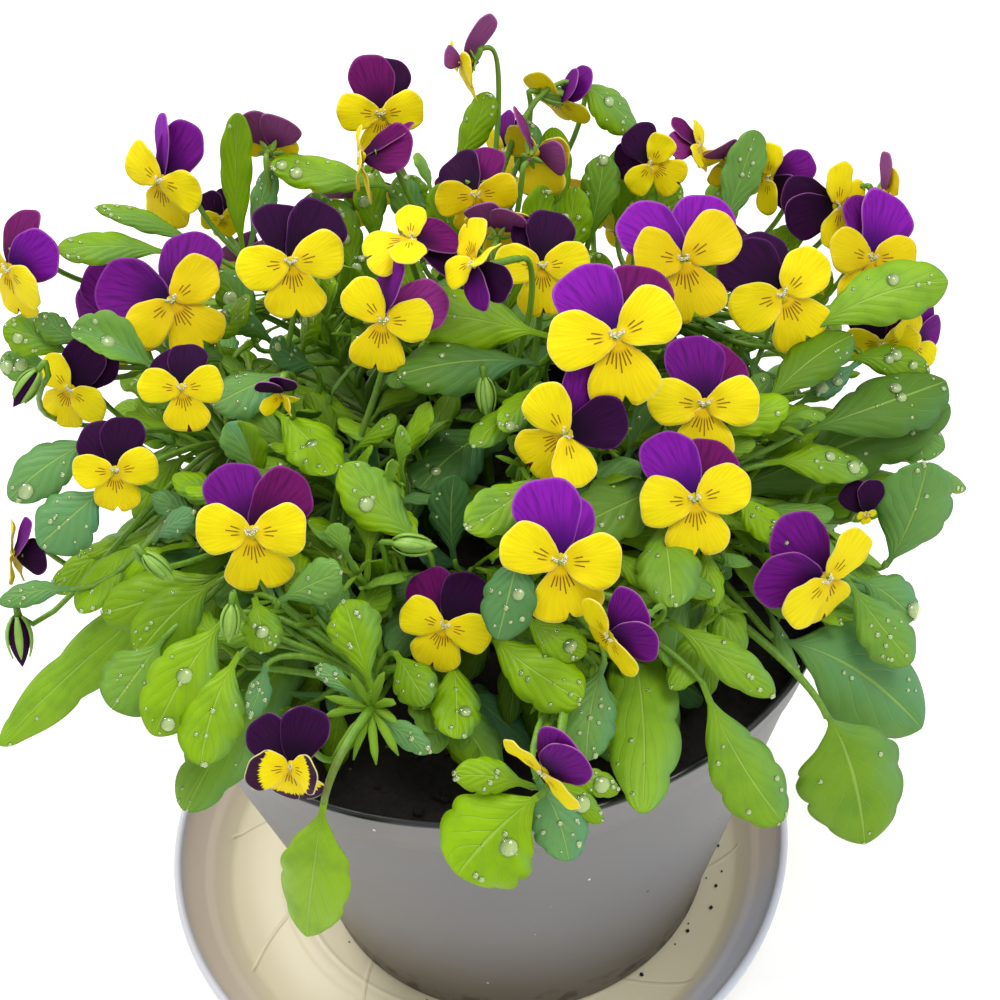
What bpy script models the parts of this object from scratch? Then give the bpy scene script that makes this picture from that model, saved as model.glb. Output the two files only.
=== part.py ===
"""Potted horned violet: a bushy Viola in a grey nursery pot that stands in a clear saucer.

Lengths are in millimetres and become metres where a mesh or a location is made. Z is up, the origin is the
centre of the saucer's underside, and the front is -Y. A bearing is a compass angle seen from above:
0 at the front, 90 to the right (+X).
"""

import itertools
import math

import bmesh
import bpy
from mathutils import Matrix, Vector
from mathutils.bvhtree import BVHTree

MM = 0.001
GAP = 0.3  # left between two pieces that touch

SAUCER_RADIUS = 100.0
SAUCER_HEIGHT = 19.0
SAUCER_BASE_RADIUS = 84.0
SAUCER_THICKNESS = 2.2
SAUCER_LIP = 1.2
PLATEAU_RADIUS = 66.0  # the middle of the saucer's floor, which the pot stands on
PLATEAU_HEIGHT = 0.8

POT_OFF_CENTRE = 11.0  # the pot stands to the right of the saucer's middle
POT_RIM_RADIUS = 95.0
POT_BASE_RADIUS = 63.0
POT_TOP = 141.0
POT_WALL = 2.0
POT_LIP = 1.0
POT_BAND_HEIGHT = 14.0
POT_BAND_STEP = 0.9

SOIL_BELOW_RIM = 17.0
SOIL_MOUND = 3.0

STEM_RADIUS = 1.9
STEM_FOOT_RING = 27.0
STEM_FOOT_DEPTH = 9.0
STALK_RADIUS = 0.9
STALK_DROP = 36.0  # a stalk leaves its stem this far below its bloom
BRANCH_STEP = 0.035  # of a stem's length, between the starts of neighbouring stalks
CALYX_LENGTH = 0.21  # of a bloom's width

PETAL_HALF_THICKNESS = 0.013  # of a bloom's width
LEAF_THICKNESS = 0.7
LEAF_STALK_SHARE = 0.3  # of a leaf's length
LEAF_STALK_HALF_WIDTH = 1.1
LEAF_TIP_SHARE = 0.16  # the last row's half width, as a part of the leaf's width

POT_STEPS = 44
POT_FOOT = SAUCER_THICKNESS + PLATEAU_HEIGHT + GAP
POT_FLOOR = POT_FOOT + 2.3
SOIL_TOP = POT_TOP - SOIL_BELOW_RIM
COLLAR = SOIL_TOP + 0.85 * SOIL_MOUND  # the soil's height where the stems come out

# The five petals as lobes round the throat: angle from straight up, reach and half angle. Reaches are
# parts of the bloom's width.
PETALS = (
    (27, 0.62, 36),
    (94, 0.50, 40),
    (180, 0.57, 50),
    (266, 0.50, 40),
    (333, 0.62, 36),
)

# Main stems: bearing of the foot, then bearing, distance out and height of the tip.
STEMS = {
    "stem_front": (10, 10, 46, 164),
    "stem_front_left_low": (-28, -24, 72, 157),
    "stem_left_front": (-62, -56, 52, 172),
    "stem_left": (-97, -90, 62, 178),
    "stem_left_back": (-135, -132, 58, 190),
    "stem_back": (175, 172, 42, 196),
    "stem_right_back": (128, 118, 60, 185),
    "stem_right": (55, 64, 56, 168),
    "stem_middle": (88, 60, 8, 194),
}

# Blooms: stem, throat (x, y, z from the pot's axis), facing (bearing, rise, roll), width.
BLOOMS = (
    ("stem_left_back", (-75, 50, 231), (-30, 20, 0), 27),
    ("stem_left_back", (-46, 60, 236), (170, 20, 0), 26),
    ("stem_left_back", (-112, 25, 225), (-50, 10, -15), 26),
    ("stem_left", (-86, 30, 207), (-10, 20, 40), 26),
    ("stem_left", (-70, 10, 219), (0, 40, 15), 27),
    ("stem_left", (-39, 5, 231), (5, 35, -25), 26),
    ("stem_back", (-17, 64, 237), (0, 20, 0), 26),
    ("stem_back", (-22, 42, 237), (-95, 20, 0), 25),
    ("stem_back", (5, 66, 252), (-80, 8, 0), 26),
    ("stem_back", (32, 63, 239), (-40, -5, -30), 25),
    ("stem_back", (23, 50, 229), (150, -5, 0), 25),
    ("stem_back", (6, 27, 233), (0, 15, 0), 26),
    ("stem_middle", (-10, -2, 242), (10, 60, 80), 26),
    ("stem_middle", (8, -14, 240), (-50, 30, -50), 26),
    ("stem_middle", (34, -32, 229), (-5, 40, 5), 30),
    ("stem_right_back", (54, 2, 224), (-5, 40, 15), 29),
    ("stem_right_back", (52, 45, 226), (-20, 25, 35), 22),
    ("stem_right_back", (85, 50, 219), (-60, 20, -60), 24),
    ("stem_right_back", (100, 38, 213), (30, 20, 75), 26),
    ("stem_right_back", (106, 24, 205), (20, 30, 0), 27),
    ("stem_right_back", (115, 46, 214), (95, 5, 0), 25),
    ("stem_right", (79, 4, 210), (0, 40, 25), 28),
    ("stem_right_back", (115, 10, 187), (40, -5, -20), 25),
    ("stem_left", (-102, 12, 195), (-20, 25, -25), 24),
    ("stem_left_front", (-67, -15, 212), (0, 30, 0), 24),
    ("stem_left", (-85, -25, 197), (5, 30, 8), 24),
    ("stem_left_front", (-51, -50, 196), (0, 35, 0), 27),
    ("stem_left", (-122, -11, 161), (-80, 10, 0), 24),
    ("stem_front", (21, -42, 210), (-20, 30, -65), 25),
    ("stem_front", (17, -68, 196), (0, 35, 5), 28),
    ("stem_front", (-10, -62, 173), (-5, 35, -15), 24),
    ("stem_front", (26, -80, 182), (-60, -10, -20), 25),
    ("stem_right", (55, -25, 201), (5, 40, -8), 27),
    ("stem_right", (49, -50, 194), (5, 40, -8), 28),
    ("stem_right", (79, -58, 173), (45, 10, 20), 28),
    ("stem_front", (9, -106, 173), (-45, -15, -40), 24),
    ("stem_front_left_low", (-41, -98, 172), (-10, 30, 0), 24),
)

# Leaves: stem, how far up it the stalk starts, tip (x, y, z from the pot's axis), width, arch, roll.
LEAVES = {
    "leaf_front_left_hanging": ("stem_front_left_low", 0.95, (-48, -99, 104), 18, 16, 0),
    "leaf_front_round": ("stem_front", 0.3, (-10, -114, 140), 23, 14, 0),
    "leaf_front_right_hanging": ("stem_right", 0.5, (30, -102, 150), 17, 12, 0),
    "leaf_right_dark": ("stem_right", 0.65, (122, -12, 178), 20, 8, 15),
    "leaf_right_low": ("stem_right", 0.35, (86, -88, 110), 20, 22, 0),
    "leaf_right_large": ("stem_right", 0.5, (110, -56, 118), 24, 18, 0),
    "leaf_right_upright": ("stem_right_back", 0.3, (114, -22, 170), 20, -8, 20),
    "leaf_left_front_low": ("stem_left_front", 0.4, (-74, -84, 142), 21, 16, 0),
    "leaf_left_hanging": ("stem_left", 0.5, (-129, -45, 126), 20, 16, 0),
    "leaf_back_left": ("stem_left_back", 0.4, (-62, 88, 150), 21, 16, 0),
    "leaf_back_right": ("stem_right_back", 0.4, (48, 98, 158), 20, 14, 0),
}


def new_material(name, colour, roughness, alpha=1.0):
    """A Principled material with one colour."""
    made = bpy.data.materials.new(name)
    made.use_nodes = True
    shader = made.node_tree.nodes["Principled BSDF"]
    shader.inputs["Base Color"].default_value = (*colour, 1.0)
    shader.inputs["Roughness"].default_value = roughness
    shader.inputs["Alpha"].default_value = alpha
    return made


def add_object(name, mesh, collection, made_of=None):
    """A mesh object in the collection, shaded smooth except across its sharp edges."""
    mesh.shade_smooth()
    mesh.set_sharp_from_angle(angle=math.radians(40))
    obj = bpy.data.objects.new(name, mesh)
    collection.objects.link(obj)
    if made_of:
        mesh.materials.append(made_of)
    return obj


def turned(name, profile, collection, made_of):
    """A body turned from (radius, height) points, from the axis over the top and down the outside."""
    mesh = bpy.data.meshes.new(name)
    points = [(radius * MM, 0, height * MM) for radius, height in profile]
    mesh.from_pydata(points, [(i, i + 1) for i in range(len(points) - 1)], [])
    obj = add_object(name, mesh, collection, made_of)
    screw = obj.modifiers.new("turn", "SCREW")
    screw.steps = POT_STEPS
    screw.render_steps = POT_STEPS
    screw.use_merge_vertices = True
    screw.merge_threshold = 0.0001
    return obj


def arc(centre, radius, first, last, count):
    """Points of a round corner, angles in degrees from +X towards +Z."""
    turns = [math.radians(first + (last - first) * i / (count - 1)) for i in range(count)]
    return [(centre[0] + radius * math.cos(a), centre[1] + radius * math.sin(a)) for a in turns]


def saucer(collection, made_of):
    """A moulded dish with a flat foot, a stepped floor and a raised rim with a rounded lip."""
    foot = SAUCER_BASE_RADIUS
    floor = SAUCER_THICKNESS
    plateau = floor + PLATEAU_HEIGHT
    lip = arc((SAUCER_RADIUS - SAUCER_LIP, SAUCER_HEIGHT - SAUCER_LIP), SAUCER_LIP, 180, 0, 4)
    profile = [(0, plateau), (PLATEAU_RADIUS, plateau), (PLATEAU_RADIUS + 2, floor)]
    profile += [(foot - 1, floor), (foot + 4, 8.0), (foot + 7, 8.6), (foot + 10, 13.0)]
    profile += lip
    profile += [(foot + 12.4, 11.6), (foot + 8, 6.6), (foot + 5.8, 6.2), (foot, 0), (0, 0)]
    return turned("saucer", profile, collection, made_of)


def pot(collection, made_of):
    """A tapered pot in one moulding: a plain band below the rim, a small step, and a rounded foot."""
    band_foot = POT_TOP - POT_BAND_HEIGHT
    slope = (POT_RIM_RADIUS - POT_BASE_RADIUS) / (POT_TOP - POT_FOOT)
    band = POT_RIM_RADIUS - POT_BAND_HEIGHT * slope
    inner_floor = POT_BASE_RADIUS - POT_WALL + (POT_FLOOR - POT_FOOT) * slope
    lip = arc((POT_RIM_RADIUS - POT_LIP, POT_TOP - POT_LIP), POT_LIP, 180, 0, 4)
    profile = [(0, POT_FLOOR), (inner_floor - 2, POT_FLOOR), (inner_floor, POT_FLOOR + 2)]
    profile += lip
    profile += [(band, band_foot), (band - POT_BAND_STEP, band_foot - 0.6)]
    profile += [(POT_BASE_RADIUS + 1.2, POT_FOOT + 3), (POT_BASE_RADIUS - 1, POT_FOOT), (0, POT_FOOT)]
    obj = turned("pot", profile, collection, made_of)
    obj.location.x = POT_OFF_CENTRE * MM
    return obj


def soil(collection, helpers, made_of):
    """A plug of potting soil that fills the pot to below the rim, with a socket for each stem."""
    slope = (POT_RIM_RADIUS - POT_BASE_RADIUS) / (POT_TOP - POT_FOOT)
    inner = POT_BASE_RADIUS - POT_WALL - GAP - 1.2
    bottom = POT_FLOOR + GAP
    edge = inner + (SOIL_TOP - bottom) * slope
    profile = [(0, SOIL_TOP + SOIL_MOUND), (edge * 0.5, SOIL_TOP + SOIL_MOUND * 0.8)]
    profile += [(edge * 0.85, SOIL_TOP), (edge, SOIL_TOP - 1)]
    profile += [(inner, bottom + 2), (inner - 2, bottom), (0, bottom)]
    obj = turned("potting_soil", profile, collection, made_of)
    obj.location.x = POT_OFF_CENTRE * MM
    for name, stem in STEMS.items():
        foot = stem_path(stem)[0]
        shape = bmesh.new()
        bmesh.ops.create_cone(
            shape,
            cap_ends=True,
            segments=8,
            radius1=(STEM_RADIUS + 2 * GAP) * MM,
            radius2=(STEM_RADIUS + 2 * GAP) * MM,
            depth=2 * (STEM_FOOT_DEPTH + 2 * GAP) * MM,
        )
        mesh = bpy.data.meshes.new(name + "_socket")
        shape.to_mesh(mesh)
        shape.free()
        cutter = add_object(name + "_socket", mesh, helpers)
        cutter.location = Vector((foot.x, foot.y, COLLAR)) * MM
        join(obj, cutter, "DIFFERENCE")
    return obj


def join(obj, other, operation="UNION"):
    """Joins a helper's shape to an object, or cuts it away, and hides the helper."""
    boolean = obj.modifiers.new(other.name, "BOOLEAN")
    boolean.operation = operation
    boolean.object = other
    other.hide_render = True
    other.display_type = "WIRE"


def plant_point(x, y, z):
    """A point given from the pot's axis, in the object's own frame."""
    return Vector((x + POT_OFF_CENTRE, y, z))


def outward(bearing, rise=0):
    """The unit vector on a bearing, raised above level."""
    turn = math.radians(bearing)
    lift = math.radians(rise)
    return Vector((math.sin(turn) * math.cos(lift), -math.cos(turn) * math.cos(lift), math.sin(lift)))


def stem_path(stem):
    """Points up a main stem: straight out of the soil, then a bend outwards to the tip."""
    foot_bearing, tip_bearing, out, height = stem
    foot = outward(foot_bearing) * STEM_FOOT_RING + Vector((POT_OFF_CENTRE, 0, 0))
    top = outward(tip_bearing) * out + plant_point(0, 0, height)
    collar = foot + Vector((0, 0, COLLAR + 2))
    knee = collar.lerp(top, 0.15)
    knee.z = collar.z + 0.72 * (height - collar.z)
    path = [foot + Vector((0, 0, COLLAR - STEM_FOOT_DEPTH))]
    path += bezier(collar, collar.lerp(knee, 0.67), top.lerp(knee, 0.67), top, 5)
    return path


def bezier(a, b, c, d, count):
    """Evenly stepped points of a cubic curve."""
    steps = [i / (count - 1) for i in range(count)]
    return [a * (1 - t) ** 3 + 3 * b * t * (1 - t) ** 2 + 3 * c * t * t * (1 - t) + d * t**3 for t in steps]


def along(path, part):
    """The point at a part of the number of steps of a path."""
    place = part * (len(path) - 1)
    low = min(int(place), len(path) - 2)
    return path[low].lerp(path[low + 1], place - low)


def tube(name, path, radius, resolution, collection, made_of):
    """A closed tube along the path, as a mesh object whose origin is at the path's start."""
    curve = bpy.data.curves.new(name, "CURVE")
    curve.dimensions = "3D"
    curve.bevel_depth = radius * MM
    curve.bevel_resolution = resolution
    curve.use_fill_caps = True
    spline = curve.splines.new("POLY")
    spline.points.add(len(path) - 1)
    for point, place in zip(spline.points, path):
        point.co = (*((place - path[0]) * MM), 1)
    bent = bpy.data.objects.new(name, curve)
    collection.objects.link(bent)
    bent.location = path[0] * MM
    graph = bpy.context.evaluated_depsgraph_get()
    mesh = bpy.data.meshes.new_from_object(bent.evaluated_get(graph))
    shape = bmesh.new()
    shape.from_mesh(mesh)
    bmesh.ops.remove_doubles(shape, verts=shape.verts, dist=1e-6)
    shape.to_mesh(mesh)
    shape.free()
    bpy.data.objects.remove(bent)
    bpy.data.curves.remove(curve)
    obj = add_object(name, mesh, collection, made_of)
    obj.location = path[0] * MM
    return obj


def facing_frame(place, bearing, rise, roll):
    """Location and rotation of a bloom: X to the viewer's right, Y up the face, Z the way it faces."""
    ahead = outward(bearing, rise)
    up = (Vector((0, 0, 1)) - ahead * ahead.z).normalized()
    up = Matrix.Rotation(math.radians(roll), 3, ahead) @ up
    right = up.cross(ahead)
    turn = Matrix((right, up, ahead)).transposed().to_4x4()
    return Matrix.Translation(place * MM) @ turn


def petal_reach(angle):
    """How far the petals reach from the throat, in parts of the width, at an angle from straight up."""
    reach = 0.22
    for middle, length, half in PETALS:
        off = abs((angle - middle + 180) % 360 - 180) / half
        if off < 1:
            reach = max(reach, length * math.cos(off * math.pi / 2) ** 0.3)
    return reach


def bloom(name, width, collection, made_of):
    """The five petals as one dished plate round the throat, on the calyx and spur behind it."""
    rings = 4
    shape = bmesh.new()
    bmesh.ops.create_uvsphere(shape, u_segments=20, v_segments=rings + 1, radius=1.0)
    for vert in shape.verts:
        turn = math.degrees(math.atan2(-vert.co.x, vert.co.y)) % 360
        ring = round((rings + 1) * math.acos(max(-1.0, min(1.0, vert.co.z))) / math.pi)
        reach = petal_reach(turn)
        lean = -0.10 if math.cos(math.radians(turn)) > 0 else 0.02
        radius, depth = (
            (0, 0.01),
            (reach, lean * reach + PETAL_HALF_THICKNESS),
            (reach, lean * reach - PETAL_HALF_THICKNESS),
            (0.085, -0.05),
            (0.05, -CALYX_LENGTH + 0.02),
            (0, -CALYX_LENGTH),
        )[ring]
        angle = math.radians(turn)
        vert.co = Vector((-math.sin(angle) * radius, math.cos(angle) * radius, depth)) * width * MM
    mesh = bpy.data.meshes.new(name)
    shape.to_mesh(mesh)
    shape.free()
    return add_object(name, mesh, collection, made_of)


def leaf(name, length, width, arch, roll, collection, made_of):
    """A leaf on its stalk from the origin along +X: a grid shaped to the outline, bent, then thickened."""
    shape = bmesh.new()
    bmesh.ops.create_grid(shape, x_segments=7, y_segments=2, size=1.0)
    for vert in shape.verts:
        part = (vert.co.x + 1) / 2
        blade = max(0.0, (part - LEAF_STALK_SHARE) / (1 - LEAF_STALK_SHARE))
        swell = math.sin(math.pi * blade**0.9) ** 0.7
        half = LEAF_STALK_HALF_WIDTH + (width / 2 - LEAF_STALK_HALF_WIDTH) * swell
        if part > 0.99:
            half = width * LEAF_TIP_SHARE
        across = vert.co.y * half
        turn = math.radians(roll) * blade
        lift = arch * 4 * part * (1 - part) + abs(across) * 0.15
        vert.co = Vector((part * length, across * math.cos(turn), lift + across * math.sin(turn))) * MM
    mesh = bpy.data.meshes.new(name)
    shape.to_mesh(mesh)
    shape.free()
    obj = add_object(name, mesh, collection, made_of)
    thick = obj.modifiers.new("thickness", "SOLIDIFY")
    thick.thickness = LEAF_THICKNESS * MM
    thick.offset = 0
    return obj


def world_tree(obj):
    """The object's finished surface as a search tree, for overlap tests."""
    graph = bpy.context.evaluated_depsgraph_get()
    built = obj.evaluated_get(graph)
    mesh = built.to_mesh()
    points = [obj.matrix_world @ vert.co for vert in mesh.vertices]
    faces = [tuple(face.vertices) for face in mesh.polygons]
    built.to_mesh_clear()
    return BVHTree.FromPolygons(points, faces)


def clear_of(tree, others):
    """Whether a surface touches none of the others."""
    return not any(tree.overlap(other) for other in others)


def offsets(step, count):
    """0, then plus and minus each multiple of a step."""
    return [0] + [sign * step * i for i in range(1, count + 1) for sign in (1, -1)]


def add_blooms(collection, made_of, standing):
    """Every bloom at its place, moved along its own facing where another bloom is in the way."""
    placed = []
    for number, (stem, place, facing, width) in enumerate(BLOOMS, 1):
        obj = bloom(f"bloom_{number:02d}", width, collection, made_of)
        for push in offsets(2, 9):
            centre = plant_point(*place) + outward(*facing[:2]) * push
            obj.matrix_world = facing_frame(centre, *facing)
            bpy.context.view_layer.update()
            tree = world_tree(obj)
            if clear_of(tree, standing):
                break
        else:
            raise ValueError(f"{obj.name} has no clear place")
        standing.append(tree)
        placed.append((stem, centre, outward(*facing[:2]), width))
    return placed


def stalk_path(start, centre, ahead, width, bow):
    """A flower stalk: up from the stem, hooked over at the top, to just behind the calyx."""
    calyx = centre - ahead * (CALYX_LENGTH * width + GAP)
    crook = calyx - ahead * 3.0 + Vector((0, 0, 1.2))
    below = crook - ahead * 1.6 - Vector((0, 0, 4.5))
    reach = (below - start).length
    side = (below - start).cross(Vector((0, 0, 1))).normalized()
    lean = (below - start).normalized() * 0.3 * reach
    first = start + Vector((0, 0, 0.15 * reach)) + lean + side * bow
    second = below - Vector((0, 0, 0.35 * reach)) + side * bow
    return bezier(start, first, second, below, 5) + [crook, calyx]


def add_stems(collection, helpers, made_of, placed, standing):
    """Main stems with their flower stalks joined on, each stalk bowed aside where it would touch."""
    trees = {}
    stems = {}
    for name, stem in STEMS.items():
        stems[name] = tube(name, stem_path(stem), STEM_RADIUS, 1, collection, made_of)
        trees[name] = [world_tree(stems[name])]
    for number, (name, centre, ahead, width) in enumerate(placed, 1):
        path = stem_path(STEMS[name])
        low = max(0.35, min(1.0, (centre.z - STALK_DROP - path[1].z) / (path[-1].z - path[1].z)))
        start = along(path, 0.2 + 0.8 * low - BRANCH_STEP * (number % 4))
        others = [tree for other in trees if other != name for tree in trees[other]] + standing
        for bow in offsets(4, 8):
            points = stalk_path(start, centre, ahead, width, bow)
            stalk = tube(f"stalk_{number:02d}", points, STALK_RADIUS, 1, helpers, made_of)
            tree = world_tree(stalk)
            if clear_of(tree, others):
                break
            bpy.data.objects.remove(stalk)
        else:
            raise ValueError(f"the stalk of bloom_{number:02d} has no clear way")
        trees[name].append(tree)
        join(stems[name], stalk)
    for name in STEMS:
        standing += trees[name]


def add_leaves(collection, made_of, standing):
    """The large leaves, each from the side of its stem, turned a little where something is in the way."""
    swings = list(itertools.product(offsets(0.12, 2), offsets(4, 3), offsets(3, 4)))
    for name, (stem, part, place, width, arch, roll) in LEAVES.items():
        path = stem_path(STEMS[stem])
        tip = plant_point(*place)
        for slide, lift, side in swings:
            place_on_stem = min(0.95, max(0.25, part + slide))
            start = along(path, place_on_stem)
            run = (along(path, place_on_stem + 0.05) - start).normalized()
            reach = tip - start
            aside = (reach - run * reach.dot(run)).normalized()
            base = start + aside * (STEM_RADIUS + 2 * GAP)
            level = Vector((reach.x, reach.y, 0)).normalized()
            chord = tip + Vector((-level.y * side, level.x * side, lift)) - base
            ahead = chord.normalized()
            across = Vector((0, 0, 1)).cross(ahead).normalized()
            turn = Matrix((ahead, across, ahead.cross(across))).transposed().to_4x4()
            obj = leaf(name, chord.length, width, arch, roll, collection, made_of)
            obj.matrix_world = Matrix.Translation(base * MM) @ turn
            bpy.context.view_layer.update()
            tree = world_tree(obj)
            if clear_of(tree, standing):
                break
            bpy.data.objects.remove(obj)
        else:
            raise ValueError(f"{name} has no clear place")
        standing.append(tree)


def main():
    """Builds the pieces from the saucer up, each clear of those before it."""
    for obj in list(bpy.data.objects):
        bpy.data.objects.remove(obj)
    parts = bpy.data.collections.new("potted_horned_violet")
    helpers = bpy.data.collections.new("helpers")
    bpy.context.scene.collection.children.link(parts)
    bpy.context.scene.collection.children.link(helpers)

    clear_plastic = new_material("clear_plastic", (0.80, 0.74, 0.60), 0.25, 0.6)
    grey_plastic = new_material("grey_plastic", (0.27, 0.26, 0.26), 0.5)
    peat = new_material("peat", (0.03, 0.025, 0.02), 0.95)
    petal = new_material("petal", (0.90, 0.72, 0.03), 0.6)
    stem_green = new_material("stem_green", (0.22, 0.42, 0.05), 0.5)
    leaf_green = new_material("leaf_green", (0.16, 0.38, 0.03), 0.4)

    standing = [
        world_tree(saucer(parts, clear_plastic)),
        world_tree(pot(parts, grey_plastic)),
    ]
    soil(parts, helpers, peat)
    placed = add_blooms(parts, petal, standing)
    add_stems(parts, helpers, stem_green, placed, standing)
    add_leaves(parts, leaf_green, standing)


main()
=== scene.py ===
import math

import bmesh
import bpy
import numpy as np
from mathutils import Matrix, Vector


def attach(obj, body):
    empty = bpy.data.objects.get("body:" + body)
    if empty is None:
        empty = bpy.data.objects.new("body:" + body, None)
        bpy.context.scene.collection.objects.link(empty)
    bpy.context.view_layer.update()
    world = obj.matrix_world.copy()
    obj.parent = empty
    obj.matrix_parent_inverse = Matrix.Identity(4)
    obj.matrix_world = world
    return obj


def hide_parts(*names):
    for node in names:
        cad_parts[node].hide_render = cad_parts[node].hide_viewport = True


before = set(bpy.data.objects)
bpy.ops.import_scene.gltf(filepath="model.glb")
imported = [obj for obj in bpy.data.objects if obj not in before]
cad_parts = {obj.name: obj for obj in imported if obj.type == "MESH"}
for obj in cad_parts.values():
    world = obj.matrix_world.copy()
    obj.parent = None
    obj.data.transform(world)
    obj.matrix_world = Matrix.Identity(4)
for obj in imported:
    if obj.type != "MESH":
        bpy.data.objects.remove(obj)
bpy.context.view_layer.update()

# ---------------------------------------------------------------- table, light and camera
# The pot stands on a white table in a bright room. Broad soft light comes from above and from a window
# behind it to the left, and the pale room round it fills the shadows.


def linear(red, green, blue):
    """A colour in 0-255 screen values as the linear light that a shader works in."""
    shares = np.array([red, green, blue]) / 255
    return (*np.where(shares > 0.04, ((shares + 0.055) / 1.055) ** 2.4, shares / 12.92), 1.0)


class Wire:
    """An output of a shader node. Sums with it add the Math nodes that work them out."""

    def __init__(self, finish, socket):
        self.finish, self.socket = finish, socket

    def beside(self, name):
        """Another output of the same node."""
        return Wire(self.finish, self.socket.node.outputs[name])

    def __add__(self, other):
        return self.finish.maths("ADD", self, other)

    def __sub__(self, other):
        return self.finish.maths("SUBTRACT", self, other)

    def __mul__(self, other):
        return self.finish.maths("MULTIPLY", self, other)

    def __truediv__(self, other):
        return self.finish.maths("DIVIDE", self, other)

    def __abs__(self):
        return self.finish.maths("ABSOLUTE", self)


class Finish:
    """A material with one Principled shader, and short ways to wire a pattern into it."""

    def __init__(self, name, roughness, **sockets):
        self.material = bpy.data.materials.new(name)
        self.material.use_nodes = True
        self.tree = self.material.node_tree
        self.shader = self.tree.nodes["Principled BSDF"]
        for socket, value in {"Roughness": roughness, **sockets}.items():
            self.feed(self.shader.inputs[socket.replace("_", " ")], value)

    def feed(self, socket, value):
        """Links a wire to a socket, or sets the socket to a plain value."""
        if isinstance(value, Wire):
            self.tree.links.new(value.socket, socket)
        else:
            socket.default_value = value

    def node(self, kind, values=(), output=0, **settings):
        """A new node's output. Its inputs are fed in order, or by name from a dictionary."""
        made = self.tree.nodes.new("ShaderNode" + kind)
        for name, value in settings.items():
            setattr(made, name, value)
        for key, value in values.items() if isinstance(values, dict) else enumerate(values):
            self.feed(made.inputs[key], value)
        return Wire(self, made.outputs[output])

    def maths(self, operation, *values):
        return self.node("Math", values, operation=operation)

    def distance(self, x, y):
        """sqrt(x * x + y * y)."""
        return self.maths("SQRT", x * x + y * y)

    def ramp(self, value, low, high):
        """0 up to low, 1 from high on, and smooth between them."""
        return self.node("MapRange", (value, low, high, 0.0, 1.0), interpolation_type="SMOOTHSTEP")

    def mix(self, share, first, second):
        """A share of the way from one colour to another. A plain colour is given in 0-255 screen values."""
        first, second = (linear(*each) if isinstance(each, tuple) else each for each in (first, second))
        return self.node("MixRGB", (share, first, second))

    def noise(self, vector, scale, detail=3.0):
        return self.node("TexNoise", {"Vector": vector, "Scale": scale, "Detail": detail})

    def stretched(self, vector, scale):
        """The vector with each axis scaled on its own."""
        return self.node("Mapping", {"Vector": vector, "Scale": scale})

    def where(self):
        """Object coordinates, in metres."""
        return self.node("TexCoord", output="Object")

    def on_surface(self):
        """The X and Y of the piece's own UV map."""
        return self.parts(self.node("TexCoord", output="UV"))[:2]

    def parts(self, vector):
        """The X, Y and Z of a vector."""
        x = self.node("SeparateXYZ", (vector,))
        return x, x.beside("Y"), x.beside("Z")

    def attribute(self, name):
        return self.node("Attribute", output="Fac", attribute_name=name)

    def paint(self, colour):
        self.feed(self.shader.inputs["Base Color"], colour)

    def dull(self, roughness):
        self.feed(self.shader.inputs["Roughness"], roughness)

    def relief(self, height, depth, strength=1.0):
        """Bumps of a depth in metres where height goes from 0 to 1."""
        bumps = self.node("Bump", {"Strength": strength, "Distance": depth, "Height": height})
        self.feed(self.shader.inputs["Normal"], bumps)

    def glow_through(self, colour, share):
        """A share of the light that falls on the back shows at the front, as through a thin petal or leaf."""
        through = self.node("BsdfTranslucent", {"Color": colour})
        both = self.node("MixShader", (share, Wire(self, self.shader.outputs[0]), through))
        self.feed(self.tree.nodes["Material Output"].inputs["Surface"], both)


def placed(name, data):
    """A new object in the scene that holds the data."""
    obj = bpy.data.objects.new(name, data)
    bpy.context.scene.collection.objects.link(obj)
    return obj


def soft_box(name, place, target, width, height, power, colour):
    """A rectangular lamp at a place, turned to shine at a target."""
    lamp = bpy.data.lights.new(name, "AREA")
    lamp.shape = "RECTANGLE"
    lamp.size, lamp.size_y, lamp.energy, lamp.color = width, height, power, colour
    aim = (Vector(target) - Vector(place)).to_track_quat("-Z", "Y")
    placed(name, lamp).matrix_world = Matrix.Translation(place) @ aim.to_matrix().to_4x4()


PLANT_MIDDLE = (0.011, 0.0, 0.15)
soft_box("window", (-0.55, 0.5, 1.15), PLANT_MIDDLE, 0.42, 0.5, 9.0, (1.0, 0.99, 0.96))
soft_box("ceiling", (0.35, -0.25, 1.25), PLANT_MIDDLE, 0.5, 0.5, 6.5, (1.0, 1.0, 1.0))

room = bpy.data.worlds.new("room")
room.use_nodes = True
sky = room.node_tree.nodes["Background"]
sky.inputs["Color"].default_value = (0.95, 0.98, 1.0, 1.0)
sky.inputs["Strength"].default_value = 0.8
bpy.context.scene.world = room
bpy.context.scene.view_settings.view_transform = "Standard"

TABLE_REACH, TABLE_DROP = 3.0, 0.0003
table_mesh = bpy.data.meshes.new("table_top")
corner_signs = ((-1, -1), (1, -1), (1, 1), (-1, 1))
corners = [(TABLE_REACH * x, TABLE_REACH * y, -TABLE_DROP) for x, y in corner_signs]
table_mesh.from_pydata(corners, [], [(0, 1, 2, 3)])
table_paint = Finish(
    "table_paint",
    0.6,
    Base_Color=(0.93, 0.925, 0.905, 1),
    Emission_Color=(1, 0.98, 0.93, 1),
    Emission_Strength=0.16,
)
table_mesh.materials.append(table_paint.material)
placed("table_top", table_mesh)

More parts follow.
